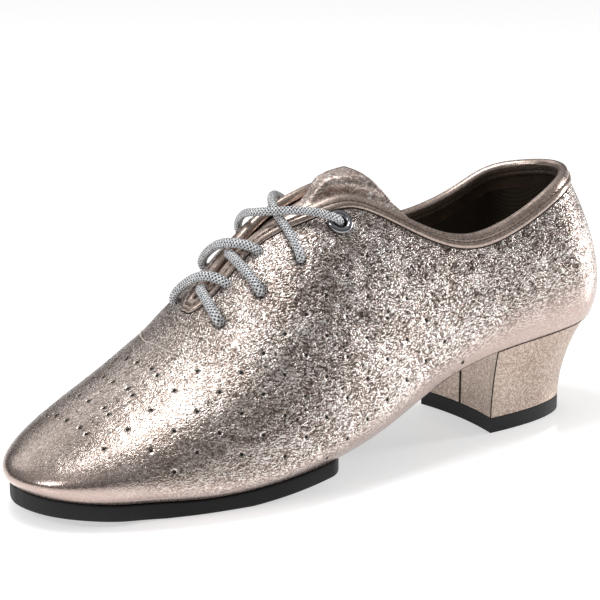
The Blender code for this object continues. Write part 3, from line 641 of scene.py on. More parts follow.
def twill_lining(name):
    """Woven twill: a fine wave across the diagonal, its threads broken up by noise."""
    finish, tree, shader = new_finish(name, Roughness=0.8, Sheen_Weight=0.2)
    place = add(tree, "TexCoord", out="Object")
    weave = add(tree, "Mapping", Vector=place, Scale=per_unit(1.0))
    wave = add(tree, "TexWave", {"bands_direction": "DIAGONAL"}, out="Fac", Vector=weave, Scale=0.75,
               Distortion=1.5, Detail=2.0)
    broad = add(tree, "Mapping", Vector=place, Scale=per_unit(6.0))
    cloud = add(tree, "TexNoise", Vector=broad, Scale=1.0, Detail=3.0)
    both = add(tree, "Math", MULTIPLY_ADD, i0=cloud, i1=0.5, i2=wave)
    colour = add(tree, "ValToRGB", stops=((0.2, "#2B2318"), (1.1, "#473A26")), Fac=both)
    feed(shader, Base_Color=colour, Normal=add(tree, "Bump", Height=wave, Strength=0.5, Distance=0.2 * MM))
    return finish


def moulded_rubber(name):
    """Matt black rubber: a fine pebble in bump and roughness."""
    finish, tree, shader = new_finish(name, Specular_IOR_Level=0.4)
    place = add(tree, "Mapping", Vector=add(tree, "TexCoord", out="Object"), Scale=per_unit(0.7))
    pebble = add(tree, "TexNoise", Vector=place, Scale=1.0, Detail=3.0)
    colour = add(tree, "ValToRGB", stops=((0.3, "#09090A"), (0.8, "#1A1A1C")), Fac=pebble)
    gloss = add(tree, "MapRange", Value=pebble, To_Min=0.45, To_Max=0.75)
    bump = add(tree, "Bump", Height=pebble, Strength=0.3, Distance=0.1 * MM)
    feed(shader, Base_Color=colour, Roughness=gloss, Normal=bump)
    return finish


def braided_cord(name, strand=1.15 * MM, turns=6.0):
    """Round braid: ridges sin(2 pi (along / strand +- turns * around)) along the cord's own UV."""
    finish, tree, shader = new_finish(name, Metallic=0.45)
    surface = add(tree, "UVMap", {"uv_map": "surface"})
    along = add(tree, "SeparateXYZ", out="X", Vector=surface)
    around = add(tree, "SeparateXYZ", out="Y", Vector=surface)
    waves = []
    for sign in (-1.0, 1.0):
        turned = add(tree, "Math", MULTIPLY, i0=around, i1=sign * turns)
        slant = add(tree, "Math", MULTIPLY_ADD, i0=along, i1=1 / strand, i2=turned)
        phase = add(tree, "Math", MULTIPLY, i0=slant, i1=2 * np.pi)
        waves.append(add(tree, "Math", {"operation": "SINE"}, i0=phase))
    ridges = add(tree, "Math", {"operation": "MAXIMUM"}, i0=waves[0], i1=waves[1])
    place = add(tree, "Mapping", Vector=add(tree, "TexCoord", out="Object"), Scale=per_unit(0.55))
    fleck = add(tree, "TexNoise", Vector=place, Scale=1.0, Detail=3.0)
    both = add(tree, "Math", MULTIPLY_ADD, i0=ridges, i1=0.3, i2=-0.2)
    both = add(tree, "Math", MULTIPLY_ADD, i0=fleck, i1=1.1, i2=both)
    colour = add(tree, "ValToRGB", stops=((0.22, "#34363B"), (0.42, "#B2B6BC"), (0.66, "#FFFFFF")), Fac=both)
    gloss = add(tree, "MapRange", Value=fleck, To_Min=0.25, To_Max=0.7)
    bump = add(tree, "Bump", Height=ridges, Strength=0.8, Distance=0.25 * MM)
    feed(shader, Base_Color=colour, Roughness=gloss, Normal=bump)
    return finish


binding_leather = smooth_leather("smooth_foil_binding", "#D0BEB3", "#8B796F", 0.30, 0.6)
# Painted shade: the collar's inner band is the binding's hide given darker tones for the shade inside the
# shoe.
facing_leather_in_shade = smooth_leather("collar_facing_leather", "#9C8A7E", "#5E4E45", 0.36, 0.6)
sock_lining = twill_lining("dark_twill_lining")
black_rubber = moulded_rubber("matt_black_rubber")
lace_braid = braided_cord("silver_thread_braid")
nickel, _, _ = new_finish("plated_nickel", Base_Color=linear("#98989C"), Metallic=1.0, Roughness=0.2)
thread, _, _ = new_finish("waxed_thread", Base_Color=linear("#5E4C41"), Roughness=0.55)
pale_thread, _, _ = new_finish("pale_waxed_thread", Base_Color=linear("#EFE4DB"), Roughness=0.5)
seam_shadow, _, _ = new_finish("seam_shadow", Base_Color=linear("#2A1F1A"), Roughness=0.8)
print("materials in all:", len(bpy.data.materials))

# %% [markdown]
# ## The upper
# The upper is one shell of leather pulled over the last. It is built as two faces, a wall's thickness apart,
# joined along the feather edge and the topline. Around each lace hole the quads are left out and the rim is
# rounded to a circle, so that the holes go right through. A shallow dimple shows how the lace pulls there.

# %% Lace holes and dimples
EYELET_HOLE = 3.2 * MM
PUNCHED_HOLE = 1.75 * MM
DIMPLE_DEPTH = 0.7 * MM
DIMPLE_REACH = 3.4 * MM


def hole_place(number, side):
    """Share and turn of a lace hole on one side."""
    turns = column(HOLE_ROWS, HOLE_COLUMNS, "near" if side < 0 else "far")
    return column(HOLE_ROWS, HOLE_COLUMNS, "share")[number], turns[number]


def lace_holes():
    """Centre, outward normal and radius of each lace hole, near side first, toe first."""
    holes = []
    for side in (-1.0, 1.0):
        for number in range(len(HOLE_ROWS)):
            point, normal = last_frame(*hole_place(number, side), side)
            radius = EYELET_HOLE if number == len(HOLE_ROWS) - 1 else PUNCHED_HOLE
            holes.append((point, normal, radius))
    return holes


holes = lace_holes()
print("lace holes:", len(holes))

# %% Creases of the leather, charted
# share turn share_end turn_end depth width, the last two in millimetres
CREASE_ROWS = np.array([
    [.560, .520, .500, .300, 0.45, 7.0],
    [.500, .560, .445, .330, 0.40, 6.0],
    [.430, .480, .390, .250, 0.35, 6.0],
    [.660, .330, .600, .160, 0.45, 8.0],
    [.735, .720, .700, .450, 0.30, 7.0],
    [.350, .200, .250, .140, 0.35, 9.0],
])
RIDGE_SHARE = 0.4
RIDGE_PLACE = 1.5


def crease_relief(points):
    """Each trough is -depth * exp(-(away / width)^2) from a line, with a lower ridge on either side."""
    relief = np.zeros(points.shape[:-1])
    for side in (-1.0, 1.0):
        for share, turn, share_end, turn_end, *sizes in CREASE_ROWS:
            depth, width = np.array(sizes) * MM
            a, b = on_last(share, turn, side), on_last(share_end, turn_end, side)
            run = b - a
            t = np.clip(((points - a) @ run) / (run @ run), 0, 1)
            away = np.linalg.norm(points - a - t[..., None] * run, axis=-1)
            fade = np.sin(np.pi * np.clip(0.15 + 0.7 * t, 0, 1))
            relief -= depth * fade * np.exp(-(away / width) ** 2)
            relief += RIDGE_SHARE * depth * fade * np.exp(-((away - RIDGE_PLACE * width) / width) ** 2)
    return relief


# %% The upper's two faces
UPPER_ROWS = 88
FACING_BAND = 11.0 * MM
CREASE_FREE_EDGE = 12.0 * MM
HOLE_SURROUND = 12.0 * MM

# How far the band of painted floor reflection reaches up at places along the shoe: X in millimetres, and a
# factor on its height
FLOOR_REFLECTION_REACH_X = -122, -60, 0, 40, 80, 122
FLOOR_REFLECTION_REACH = 1.0, 0.85, 0.65, 0.70, 1.25, 1.45

rows = np.linspace(0, 1, UPPER_ROWS)
length = from_top[:, :1]
at = (1 - rows)[None, :] * length
outer, outward = np.stack([read_ribs(at[:, r]) for r in range(UPPER_ROWS)], axis=2)
relief = crease_relief(outer) * np.clip(at / CREASE_FREE_EDGE, 0, 1)
for centre, normal, radius in holes:
    away = np.linalg.norm(outer - centre, axis=-1)
    relief -= DIMPLE_DEPTH * np.exp(-(away / DIMPLE_REACH) ** 2)
outer = outer + outward * relief[..., None]
inner = outer - outward * WALL


# %% Cutting the lace holes into the grid
def cut_round_holes(outer, inner):
    """Marks the points inside a hole, and moves the rim's points onto the hole's circle in both faces."""
    gone = np.zeros(outer.shape[:2], bool)
    for centre, normal, radius in holes:
        flat = outer - centre
        flat = flat - (flat @ normal)[..., None] * normal
        close = np.linalg.norm(outer - centre, axis=-1) < HOLE_SURROUND
        inside = close & (np.linalg.norm(flat, axis=-1) < radius)
        near_hole = inside.copy()
        for step in ((1, 0), (-1, 0), (0, 1), (0, -1), (1, 1), (1, -1), (-1, 1), (-1, -1)):
            near_hole |= np.roll(inside, step, axis=(0, 1))
        rim = near_hole & ~inside
        for face in (outer, inner):
            spoke = face[rim] - centre
            high = (spoke @ normal)[:, None] * normal
            face[rim] = centre + high + unit(spoke - high) * radius
        gone |= inside
    return gone


gone = cut_round_holes(outer, inner)
print("points inside the holes:", int(gone.sum()))
topline = np.vstack([outer[:, -1], outer[:1, -1]])
print(f"topline round collar and throat: {path_length(topline)[-1] / MM:.0f} mm")

# %% [markdown]
# ### Pinholes
# The pattern is a diamond lattice that was struck through the flat leather. It looks regular from the front
# quarter of the shoe, so it is laid out on a plane that faces that way and carried straight back to the last.
# The far side is the mirror image about the ridge, and a single row runs down the ridge itself.

# %% Charting the pinholes
STRIKE_TURN = 35.2
STRIKE_RISE = 17.3
STRIKE_DISTANCE = 1.05
STRIKE_MIDDLE = np.array([-2.4 * MM, 0.0, 40.0 * MM])
HALF_PITCH = 7.07 * MM
PITCH_BEND = 0.060 * MM
ROW_PITCH = 7.24 * MM
ROW_TILT = 0.33 * MM
APEX = np.array([21.9 * MM, 32.2 * MM])
FIRST_PLACES = [0, 0, 0, 0, 0, 0, -2, -2, -2, -2, -1, 1]
LAST_PLACES = [0, 1, 2, 3, 4, 5, 5, 4, 4, 4, 4, 1]
RIDGE_ROW_X = np.array([-71.0, -80.5, -90.0, -99.0]) * MM
RIDGE_ROW_ASIDE = 12.5 * MM
RIDGE_ROW_HEIGHT = 35.0 * MM


def strike_axes():
    """Right, up and back of the plane on which the lattice is drawn."""
    turn, rise = np.radians(STRIKE_TURN), np.radians(STRIKE_RISE)
    back = np.array([-np.sin(turn) * np.cos(rise), -np.cos(turn) * np.cos(rise), np.sin(rise)])
    right = unit(np.cross([0.0, 0.0, 1.0], back))
    return right, np.cross(back, right), back


def strike(flat):
    """Points on the last's near side that lie behind points of the drawn plane."""
    right, up, back = strike_axes()
    drawn = STRIKE_MIDDLE + flat[:, :1] * right + flat[:, 1:] * up
    eye = STRIKE_MIDDLE + back * STRIKE_DISTANCE
    ray = unit(drawn - eye)
    reach = np.linspace(0.85, 1.25, 1201)
    inside = inside_last(eye + ray[:, None] * reach[None, :, None])
    first = np.argmax(inside, axis=1)
    found = inside.any(axis=1)
    low, high = reach[np.maximum(first - 1, 0)], reach[first]
    for _ in range(20):
        middle = (low + high) / 2
        within = inside_last(eye + ray * middle[:, None])
        high = np.where(within, middle, high)
        low = np.where(within, low, middle)
    return (eye + ray * high[:, None])[found]


def on_top(x, aside):
    """Points on the last at places x along the foot and aside of the ridge."""
    share = share_at(x, RIDGE_ROW_HEIGHT)
    size = section(share)
    half = half_at(size, aside)
    turn = 1 - np.arcsin(np.clip(np.abs(aside) / half, 0, 1)) / (np.pi / 2)
    return on_last(share, turn, np.where(aside < 0, -1.0, 1.0))


def mirrored(near):
    """The same places on the far side: y mirrored about the ridge, then set back on the last."""
    share = share_at(near[:, 0], near[:, 2])
    size = section(share)
    level = np.clip((near[:, 2] - size["edge"] - size["swell"]) / size["crown"], -1, 1)
    return on_last(share, np.arcsin(level) / (np.pi / 2), 1.0)


def pinhole_chart():
    """Row r holds the places s = 2 j - r at u = s a - s^2 b and v = -r c - s d from the apex."""
    flat = []
    for r, (first, last) in enumerate(zip(FIRST_PLACES, LAST_PLACES)):
        s = 2 * np.arange(first, last + 1) - r
        flat.append(np.stack([s * HALF_PITCH - s ** 2 * PITCH_BEND, -r * ROW_PITCH - s * ROW_TILT], -1))
    near = strike(APEX + np.concatenate(flat))
    tops = [on_top(RIDGE_ROW_X, side * RIDGE_ROW_ASIDE + 0 * RIDGE_ROW_X) for side in (-1, 0, 1)]
    return np.concatenate([near, mirrored(near), *tops])


pinholes = pinhole_chart()
print("pinholes:", len(pinholes))


# %% Building the upper's mesh
def nearest_offset(points, centres):
    """Each point's offset in millimetres from the nearest centre."""
    flat = points.reshape(-1, 3)
    best = np.full(len(flat), np.inf)
    offset = np.full((len(flat), 3), 50.0)
    for centre in centres:
        spoke = (flat - centre) / MM
        far_off = (spoke ** 2).sum(1)
        closer = far_off < best
        best[closer] = far_off[closer]
        offset[closer] = spoke[closer]
    return offset


def build_upper():
    """Outer and inner quads without the holes, and walls along topline, feather edge and hole rims."""
    count = RIBS * UPPER_ROWS
    quads, i, j = grid_quads(RIBS, UPPER_ROWS, True, False)
    kept = ~gone.ravel()[quads].any(axis=1)
    outer_quads = quads[kept]
    inner_quads = outer_quads[:, ::-1] + count
    edges = np.concatenate([outer_quads[:, [a, b]] for a, b in ((0, 1), (1, 2), (2, 3), (3, 0))])
    key = edges.min(axis=1) * count + edges.max(axis=1)
    _, first, times = np.unique(key, return_index=True, return_counts=True)
    open_edges = edges[first[times == 1]]
    walls = np.concatenate([open_edges[:, ::-1], open_edges + count], axis=1)
    faces = np.concatenate([outer_quads, inner_quads, walls])
    lining_face = np.where(at[i, j][kept] < FACING_BAND, 2, 1)
    face_finish = np.concatenate([np.zeros(len(outer_quads)), lining_face, np.zeros(len(walls))])
    points = np.concatenate([outer.reshape(-1, 3), inner.reshape(-1, 3)])
    used = np.zeros(len(points), bool)
    used[faces.ravel()] = True
    number = np.cumsum(used) - 1
    piece = mesh_piece("upper_shell", points[used], number[faces],
                       [upper_leather, sock_lining, facing_leather_in_shade], face_finish=face_finish)
    field = piece.data.attributes.new("pinhole", "FLOAT_VECTOR", "POINT")
    field.data.foreach_set("vector", nearest_offset(points[used], pinholes).astype(np.float32).ravel())
    # The height above the feather edge, divided by the reach, marks where the leather's shader paints the
    # floor's reflection.
    reach = np.interp(outer[..., 0] / MM, FLOOR_REFLECTION_REACH_X, FLOOR_REFLECTION_REACH)
    heights = (rows[None, :] * length / MM / reach).ravel()
    band = piece.data.attributes.new("edge_height", "FLOAT", "POINT")
    band.data.foreach_set("value", np.tile(heights, 2)[used].astype(np.float32))
    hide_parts("upper")


build_upper()

# %% [markdown]
# ## The binding
# A strip of smooth leather is folded over the raw edge, all round the collar and down both facings, and
# stitched through its middle. Its profile is a rounded U, carried along the opening from rib to rib.

# %% Binding round the opening
def binding_profile():
    """Down and out of the folded strip: flat legs, a round fold, and soft lower edges."""
    half = (WALL + 2 * GAP + 2 * BINDING_THICKNESS) / 2
    middle = -WALL / 2
    t = np.linspace(0, np.pi, 9)
    fold = [(-half * 0.85 * np.sin(a), middle + half * np.cos(a)) for a in t]
    edge = [(BINDING_WIDTH + 0.35 * MM, 0.02 * MM), (BINDING_WIDTH, GAP + 0.6 * BINDING_THICKNESS)]
    leg = ((0.75, 1.0), (0.56, 0.97), (0.5, 0.86), (0.44, 0.97), (0.2, 1.0))
    outside = edge + [(down * BINDING_WIDTH, middle + half * out) for down, out in leg]
    inside = [(d, 2 * middle - o) for d, o in outside[::-1]]
    return outside + fold + inside


def closed_line(points):
    """A loop with its first point repeated at its end."""
    return np.concatenate([points, points[:1]])


rings = np.stack([read_ribs(down, out)[0] for down, out in binding_profile()], axis=1)
binding = grid_piece("folded_binding", rings, True, True, binding_leather, flip=True)
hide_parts("topline_binding")
print("binding:", round(path_length(closed_line(rings[:, 0]))[-1] / MM), "mm long")


# %% Seam lines
def seam_line(name, path, normals, radius, closed=True):
    """A thin dark cord in the crease between two pieces."""
    line = tube(path, radius, radius * 0.6, normals, 6)
    return grid_piece(name, line, closed, True, seam_shadow)


lower_seam, lower_up = read_ribs(BINDING_WIDTH + 0.45 * MM, 0.05 * MM)
seam_line("binding_lower_seam", lower_seam, lower_up, 0.30 * MM)
groove, groove_up = read_ribs(BINDING_WIDTH * 0.5, GAP + BINDING_THICKNESS * 0.78)
seam_line("binding_groove", groove, groove_up, 0.16 * MM)


# %% Stitches
STITCH_STEPS = 6


def stitch_row(name, path, normals, finish, pitch=2.3 * MM, share=0.62, radius=0.24 * MM):
    """Short bars along a path, each an oval tube that sinks at both ends."""
    run = path_length(path)
    count = int(run[-1] / pitch)
    grid = []
    steps = np.linspace(-0.5, 0.5, STITCH_STEPS)
    for k in range(count):
        places = (k + 0.5 + steps * share) * pitch
        line = read_path(places, run, path)
        up = unit(read_path(places, run, normals))
        line = line + up * (radius * (1.1 * np.cos(np.pi * steps)[:, None] ** 0.5 - 0.55))
        swell = radius * (0.55 + 0.45 * np.cos(np.pi * steps))
        grid.append(tube(line, swell, swell * 0.8, up, STITCH_STEPS))
    faces = [grid_quads(STITCH_STEPS, STITCH_STEPS, False, True, start=k * STITCH_STEPS ** 2)[0]
             for k in range(count)]
    mesh_piece(name, grid, np.concatenate(faces), [finish])


stitch_path, stitch_up = read_ribs(BINDING_WIDTH * 0.5, GAP + BINDING_THICKNESS * 0.86)
stitch_row("binding_stitches", closed_line(stitch_path), closed_line(stitch_up), thread)

# %% [markdown]
# ### Stitches on the vamp
# Below the throat a small tack in pale thread holds the end of the facings, and a row of the same thread
# crosses the ridge where the facings' reinforcement ends. Both are charted on the last.

# %% Tack and cross row
TACK_PLACES = [[.726, .042], [.738, -.036], [.716, -.078], [.714, .045]]
CROSS_ROW = [[.730, .330], [.742, .260], [.752, .173], [.757, .080], [.757, -.004], [.756, -.108],
             [.751, -.186], [.744, -.262], [.733, -.334], [.718, -.388]]


def charted_line(places, count, curved=True):
    """Points on the leather, with normals, along a line through charted places."""
    places = np.array(places)
    at = np.arange(len(places))
    x = np.linspace(0, at[-1], count)
    pick = spline if curved else (lambda at, value, x: np.interp(x, at, value))
    share, aside = pick(at, places[:, 0], x), pick(at, places[:, 1], x)
    point, normal = charted_frame(share, aside)
    return point + normal * (0.10 * MM), normal


tack_path, tack_up = charted_line(TACK_PLACES, 120, curved=False)
stitch_row("throat_tack", tack_path, tack_up, pale_thread, pitch=1.5 * MM, radius=0.22 * MM)
row_path, row_up = charted_line(CROSS_ROW, 160)
stitch_row("cross_row", row_path, row_up, pale_thread, pitch=1.7 * MM, radius=0.20 * MM)

# %% [markdown]
# ## The tongue
# The tongue is a single sheet. It starts under the vamp, runs below the facings, and its tip stands proud
# behind the top eyelets. It is a surface over the last's own sections, and the corners of its tip reach
# further back than the middle.

# %% Tongue
TONGUE_THICKNESS = 1.6 * MM
TONGUE_WIDTH = 52.0 * MM
TONGUE_BASE_WIDTH = 32.0 * MM
TONGUE_PROUD = 2.2 * MM
TONGUE_TIP_DROP = 2.3 * MM
TONGUE_SHOULDER = 0.9 * MM
TONGUE_BASE_SHARE = 0.745
TONGUE_RISE_SHARE = 0.495
TONGUE_CLEAR_SHARE = 0.435
TONGUE_TIP_SHARE = 0.389
TAPER_SHARE = 0.16
TIP_BEND_SHARE = 0.0525
TONGUE_GRID = 90, 61
THROAT_TO_ANKLE = 1, 9


def opening_half(share, side):
    """How far the opening's edge lies from the ridge line on one side, between throat and ankle."""
    turns = column(RIB_ROWS, RIB_COLUMNS, "near"), column(RIB_ROWS, RIB_COLUMNS, "far")
    part = slice(*THROAT_TO_ANKLE)
    top = column(RIB_ROWS, RIB_COLUMNS, "top")[part]
    asides = [
        np.abs(on_last(top, turn[part], which)[:, 1] - section(top)["ridge"])
        for turn, which in zip(turns, (-1.0, 1.0))
    ]
    near, far = [np.interp(-share, -top, aside) for aside in asides]
    return np.where(side < 0, near, far)


def tongue_sheet():
    """Points of the tongue's top face with their normals; out rises smoothly from under the facings."""
    under_vamp = -WALL - GAP
    under_facing = -WALL - 3 * GAP - BINDING_THICKNESS
    throat_share = column(RIB_ROWS, RIB_COLUMNS, "top")[0]
    share = np.linspace(TONGUE_BASE_SHARE, TONGUE_TIP_SHARE, TONGUE_GRID[0])[:, None]
    across = np.linspace(-1, 1, TONGUE_GRID[1])[None, :]
    rise = np.clip((TONGUE_RISE_SHARE - share) / (TONGUE_RISE_SHARE - TONGUE_CLEAR_SHARE), 0, 1)
    rise = rise * rise * (3 - 2 * rise)
    drop = np.clip((TONGUE_RISE_SHARE - share) / (TONGUE_RISE_SHARE - TONGUE_TIP_SHARE), 0, 1) ** 2
    share = share - TIP_BEND_SHARE * rise * across ** 2
    size = section(share)
    side = np.where(across < 0, -1.0, 1.0) + 0.0 * share
    half = half_at(size, side)
    spread = np.clip((TONGUE_BASE_SHARE - share) / TAPER_SHARE, 0, 1)
    half_width = (TONGUE_BASE_WIDTH + (TONGUE_WIDTH - TONGUE_BASE_WIDTH) * spread) / 2
    turn = 1 - np.arcsin(np.clip(np.abs(across) * half_width / half, 0, 0.98)) / (np.pi / 2)
    point = on_last(share, turn, side)
    normal = unit(np.cross(np.gradient(point, axis=1), np.gradient(point, axis=0)))
    normal = normal * np.sign(normal[..., 2:3])
    to_vamp = np.clip((share - throat_share) / (TONGUE_BASE_SHARE - throat_share), 0, 1)
    free_half = opening_half(share, side) - WALL - 3 * (GAP + BINDING_THICKNESS)
    aside = np.clip(np.abs(point[..., 1] - size["ridge"]) / free_half, 0, 1)
    proud = (TONGUE_PROUD - TONGUE_TIP_DROP * drop - under_facing) * (1 - aside ** 4)
    proud = proud + TONGUE_SHOULDER * 4 * aside ** 2 * (1 - aside ** 2)
    out = under_facing + (under_vamp - under_facing) * to_vamp + proud * rise
    return point + normal * out[..., None], normal


tongue_top, tongue_up = tongue_sheet()
tongue_bottom = tongue_top - tongue_up * TONGUE_THICKNESS
tongue_points = np.concatenate([tongue_top.reshape(-1, 3), tongue_bottom.reshape(-1, 3)])
m, n = TONGUE_GRID
top_quads = grid_quads(m, n, False, False)[0]
border = np.concatenate([np.arange(n), np.arange(1, m) * n + n - 1, (m - 1) * n + np.arange(n - 2, -1, -1),
                         np.arange(m - 2, 0, -1) * n])
after = np.roll(border, -1)
rim = np.stack([border, after, after + m * n, border + m * n], 1)
tongue_faces = np.concatenate([top_quads, top_quads[:, ::-1] + m * n, rim])
tongue_piece = mesh_piece("tongue_sheet", tongue_points, tongue_faces, [tongue_leather])
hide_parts("tongue")

# %% [markdown]
# ## Sole, pad and insole
# The outsole and the forefoot pad follow the feather edge, so their outline is the upper's own. Each is a
# slab: a closed profile of a few points at every station along the foot, with small rounded edges.


# %% Slabs along the foot
SLAB_SHARP = 50


def sole_outline(share, inset=0.0):
    """Near and far Y of the feather edge at a share, moved in by an inset square to the outline."""
    size = section(share)
    near, far = feather_half(share)
    small = 1e-4
    low, high = np.clip(share - small, 1e-7, FEATHER_TIP), np.clip(share + small, 1e-7, FEATHER_TIP)
    run = (high - low) * LENGTH
    slopes = [(b - a) / run for a, b in zip(feather_half(low), feather_half(high))]
    near_half, far_half = [
        np.maximum(half - inset * np.sqrt(1 + slope ** 2), 0.0) for half, slope in zip((near, far), slopes)
    ]
    return size["ridge"] - near_half, size["ridge"] + far_half


def stations(first, last, count):
    """Shares between two ends, closer together towards both."""
    return first + (last - first) * (1 - np.cos(np.linspace(0, np.pi, count))) / 2


def slab(name, share, near, far, top, bottom, rounding, finish, across=9):
    """Closed profile at each station: near to far over the top, and back below, with rounded edges."""
    x = x_at(share, section(share)["edge"])
    thick = top - bottom
    r = np.minimum(np.minimum(rounding, thick * 0.45), np.maximum((far - near) * 0.3, 1e-6))
    t = np.linspace(0, 1, across)
    turn = np.linspace(0, np.pi / 2, 4)[1:-1]
    ring = [(near + r + (far - near - 2 * r) * s, top) for s in t]
    ring += [(far - r + r * np.sin(a), top - r + r * np.cos(a)) for a in turn]
    ring += [(far, top - r), (far, bottom + r)]
    ring += [(far - r + r * np.cos(a), bottom + r - r * np.sin(a)) for a in turn]
    ring += [(near + r + (far - near - 2 * r) * s, bottom) for s in t[::-1]]
    ring += [(near + r - r * np.sin(a), bottom + r - r * np.cos(a)) for a in turn]
    ring += [(near, bottom + r), (near, top - r)]
    ring += [(near + r - r * np.cos(a), top - r + r * np.sin(a)) for a in turn]
    grid = np.stack([np.stack([x, y, z], -1) for y, z in ring], axis=1)
    return capped_piece(name, grid, finish, SLAB_SHARP)


# %% Outsole, forefoot pad and insole
END_SHARE = 0.0004
PAD_REAR_SHARE = 0.525
PAD_ROUND_SHARE = 0.045
FLAT_SPOT_DEPTH = 0.6 * MM
INSOLE_THICKNESS = 1.5 * MM
INSOLE_INSET = 3.0 * MM
OUTSOLE_INSET = 2.2 * MM
PAD_ROUNDNESS = 2.4
OUTSOLE_HEEL_SHARE = 0.012
OUTSOLE_TOE_SHARE = 0.018
INSOLE_HEEL_SHARE = 0.016
INSOLE_TOE_SHARE = 0.022

share = stations(OUTSOLE_HEEL_SHARE, FEATHER_TIP - OUTSOLE_TOE_SHARE, 160)
near, far = sole_outline(share, OUTSOLE_INSET)
sole_bottom = section(share)["edge"]
outsole = slab("thin_outsole", share, near, far, sole_bottom + OUTSOLE_THICKNESS, sole_bottom, 0.3 * MM,
               black_rubber)
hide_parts("outsole")

share = stations(PAD_REAR_SHARE + END_SHARE, FEATHER_TIP - END_SHARE, 140)
near, far = sole_outline(share)
back = np.clip((PAD_REAR_SHARE + PAD_ROUND_SHARE - share) / PAD_ROUND_SHARE, 0, 1)
centre = (near + far) / 2
round_end = np.sqrt(1 - back ** PAD_ROUNDNESS)
pad_top = section(share)["edge"] - GAP
pad_bottom = np.maximum(section(share)["edge"] - SOLE_EDGE_HEIGHT - FLAT_SPOT_DEPTH, 0.0)
pad = slab("forefoot_tread", share, centre + (near - centre) * round_end, centre + (far - centre) * round_end,
           pad_top, pad_bottom, 0.8 * MM, black_rubber)
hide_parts("forefoot_pad")

share = stations(INSOLE_HEEL_SHARE, FEATHER_TIP - INSOLE_TOE_SHARE, 120)
near, far = sole_outline(share, INSOLE_INSET)
insole_bottom = section(share)["edge"] + OUTSOLE_THICKNESS + GAP
insole = slab("sock_board", share, near, far, insole_bottom + INSOLE_THICKNESS, insole_bottom, 0.4 * MM,
              sock_lining)
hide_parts("insole")

# %% [markdown]
# ## The heel
# A covered block heel has a hollow breast, a slim tip and a flare towards its seat, where it takes the sole's
# outline. Its cover is one sheet of leather whose ends meet in a seam down the middle of the breast. The
# block is a stack of D shapes, each a blend of the tip's outline and the seat's.

# %% Heel block and top piece
HEEL_SEAT_INSET = 0.8 * MM
HEEL_FLARE = 1.65
HEEL_SQUARENESS = 0.8
BREAST_POINTS = 24
CURVE_POINTS = 96
HEEL_SHARP = 38
SEAT_SEAM_DROP = 0.25 * MM
SEAT_SEAM_PROUD = 0.4 * MM
TREAD_EDGE = 0.5 * MM


def squared(value):
    """Keeps the sign and squares a circle's sine or cosine off towards a D shape."""
    return np.sign(value) * np.abs(value) ** HEEL_SQUARENESS


def breast_x():
    """X of the breast's lower corners."""
    return x_at(HEEL_BREAST_SHARE, section(HEEL_BREAST_SHARE)["edge"])


def closed_d(curve, hollow):
    """The curve from corner to corner, closed by a breast hollowed by hollow * 4 t (1 - t)."""
    t = np.linspace(0, 1, BREAST_POINTS + 1)[1:-1, None]
    breast = curve[-1] + (curve[0] - curve[-1]) * t
    breast[:, 0] += hollow * 4 * (t * (1 - t))[:, 0]
    return np.concatenate([curve, breast])


def heel_tip_loop(height):
    """The D-shaped outline of heel tip and top piece."""
    angle = np.linspace(0, np.pi, CURVE_POINTS + 1)
    x = breast_x() + HEEL_TIP_LENGTH * squared(np.sin(angle))
    y = -HEEL_TIP_WIDTH / 2 * squared(np.cos(angle))
    return closed_d(np.stack([x, y, np.full_like(x, height)], -1), BREAST_HOLLOW)


def heel_seat_loop():
    """The heel's outline where it meets the upper's lower edge."""
    angle = np.linspace(0, np.pi, CURVE_POINTS + 1)
    share = np.clip(HEEL_SEAT_SHARE * (1 - squared(np.sin(angle))), END_SHARE, None)
    near, far = sole_outline(share, HEEL_SEAT_INSET)
    y = np.where(angle < np.pi / 2 - 1e-9, near, far)
    y[CURVE_POINTS // 2] = (near[CURVE_POINTS // 2] + far[CURVE_POINTS // 2]) / 2
    x = x_at(share, section(share)["edge"]) - HEEL_SEAT_INSET * squared(np.sin(angle))
    height = section(share)["edge"] - GAP
    return closed_d(np.stack([x, y, height], -1), BREAST_SEAT_HOLLOW)


tip = heel_tip_loop(TOP_PIECE_THICKNESS + GAP)
seat = heel_seat_loop()
loops = []
for level in np.linspace(0, 1, 60):
    ring = tip + (seat - tip) * level ** HEEL_FLARE
    ring[:, 2] = tip[:, 2] + (seat[:, 2] - tip[:, 2]) * level
    loops.append(ring)
heel = capped_piece("covered_heel", np.array(loops), heel_leather, HEEL_SHARP)
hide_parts("heel")

# A dark line shows where the cover's upper edge meets the upper
seat_line = seat[:CURVE_POINTS + 1] - np.array([0.0, 0.0, SEAT_SEAM_DROP])
outwards = unit((seat_line - seat_line.mean(axis=0)) * np.array([1.0, 1.0, 0.0]))
seam_line("heel_seat_seam", seat_line + outwards * SEAT_SEAM_PROUD,
          np.tile([0.0, 0.0, 1.0], (len(seat_line), 1)), 0.28 * MM, closed=False)

# The cover's ends meet down the middle of the breast, and its edges fold over the breast's corners
middle_point = len(tip) - BREAST_POINTS // 2
for label, index, radius in (("middle", middle_point, 0.42), ("near", 0, 0.24), ("far", CURVE_POINTS, 0.24)):
    line = np.array([ring[index] for ring in loops])
    seam = tube(line, radius * MM, radius * MM, np.tile([1.0, 0.0, 0.0], (len(line), 1)), 8)
    grid_piece(f"heel_seam_{label}", seam, False, True, seam_shadow)
treads = np.array([heel_tip_loop(z) for z in (0.0, TREAD_EDGE, TOP_PIECE_THICKNESS)])
top_piece = capped_piece("heel_tread", treads, black_rubber, HEEL_SHARP)
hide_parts("heel_top_piece")

# %% [markdown]
# ## Eyelets
# The top pair of lace holes has turned metal eyelets: a rolled flange outside and a barrel through the wall.
# The profile is a closed ring that starts with the flange's half round and ends in the barrel.

# %% Rolled eyelets
EYELET_BARREL = 5.8 * MM
EYELET_FOOT = 0.1 * MM
EYELET_EDGE = 0.15 * MM
EYELET_CROWN = 1.05 * MM


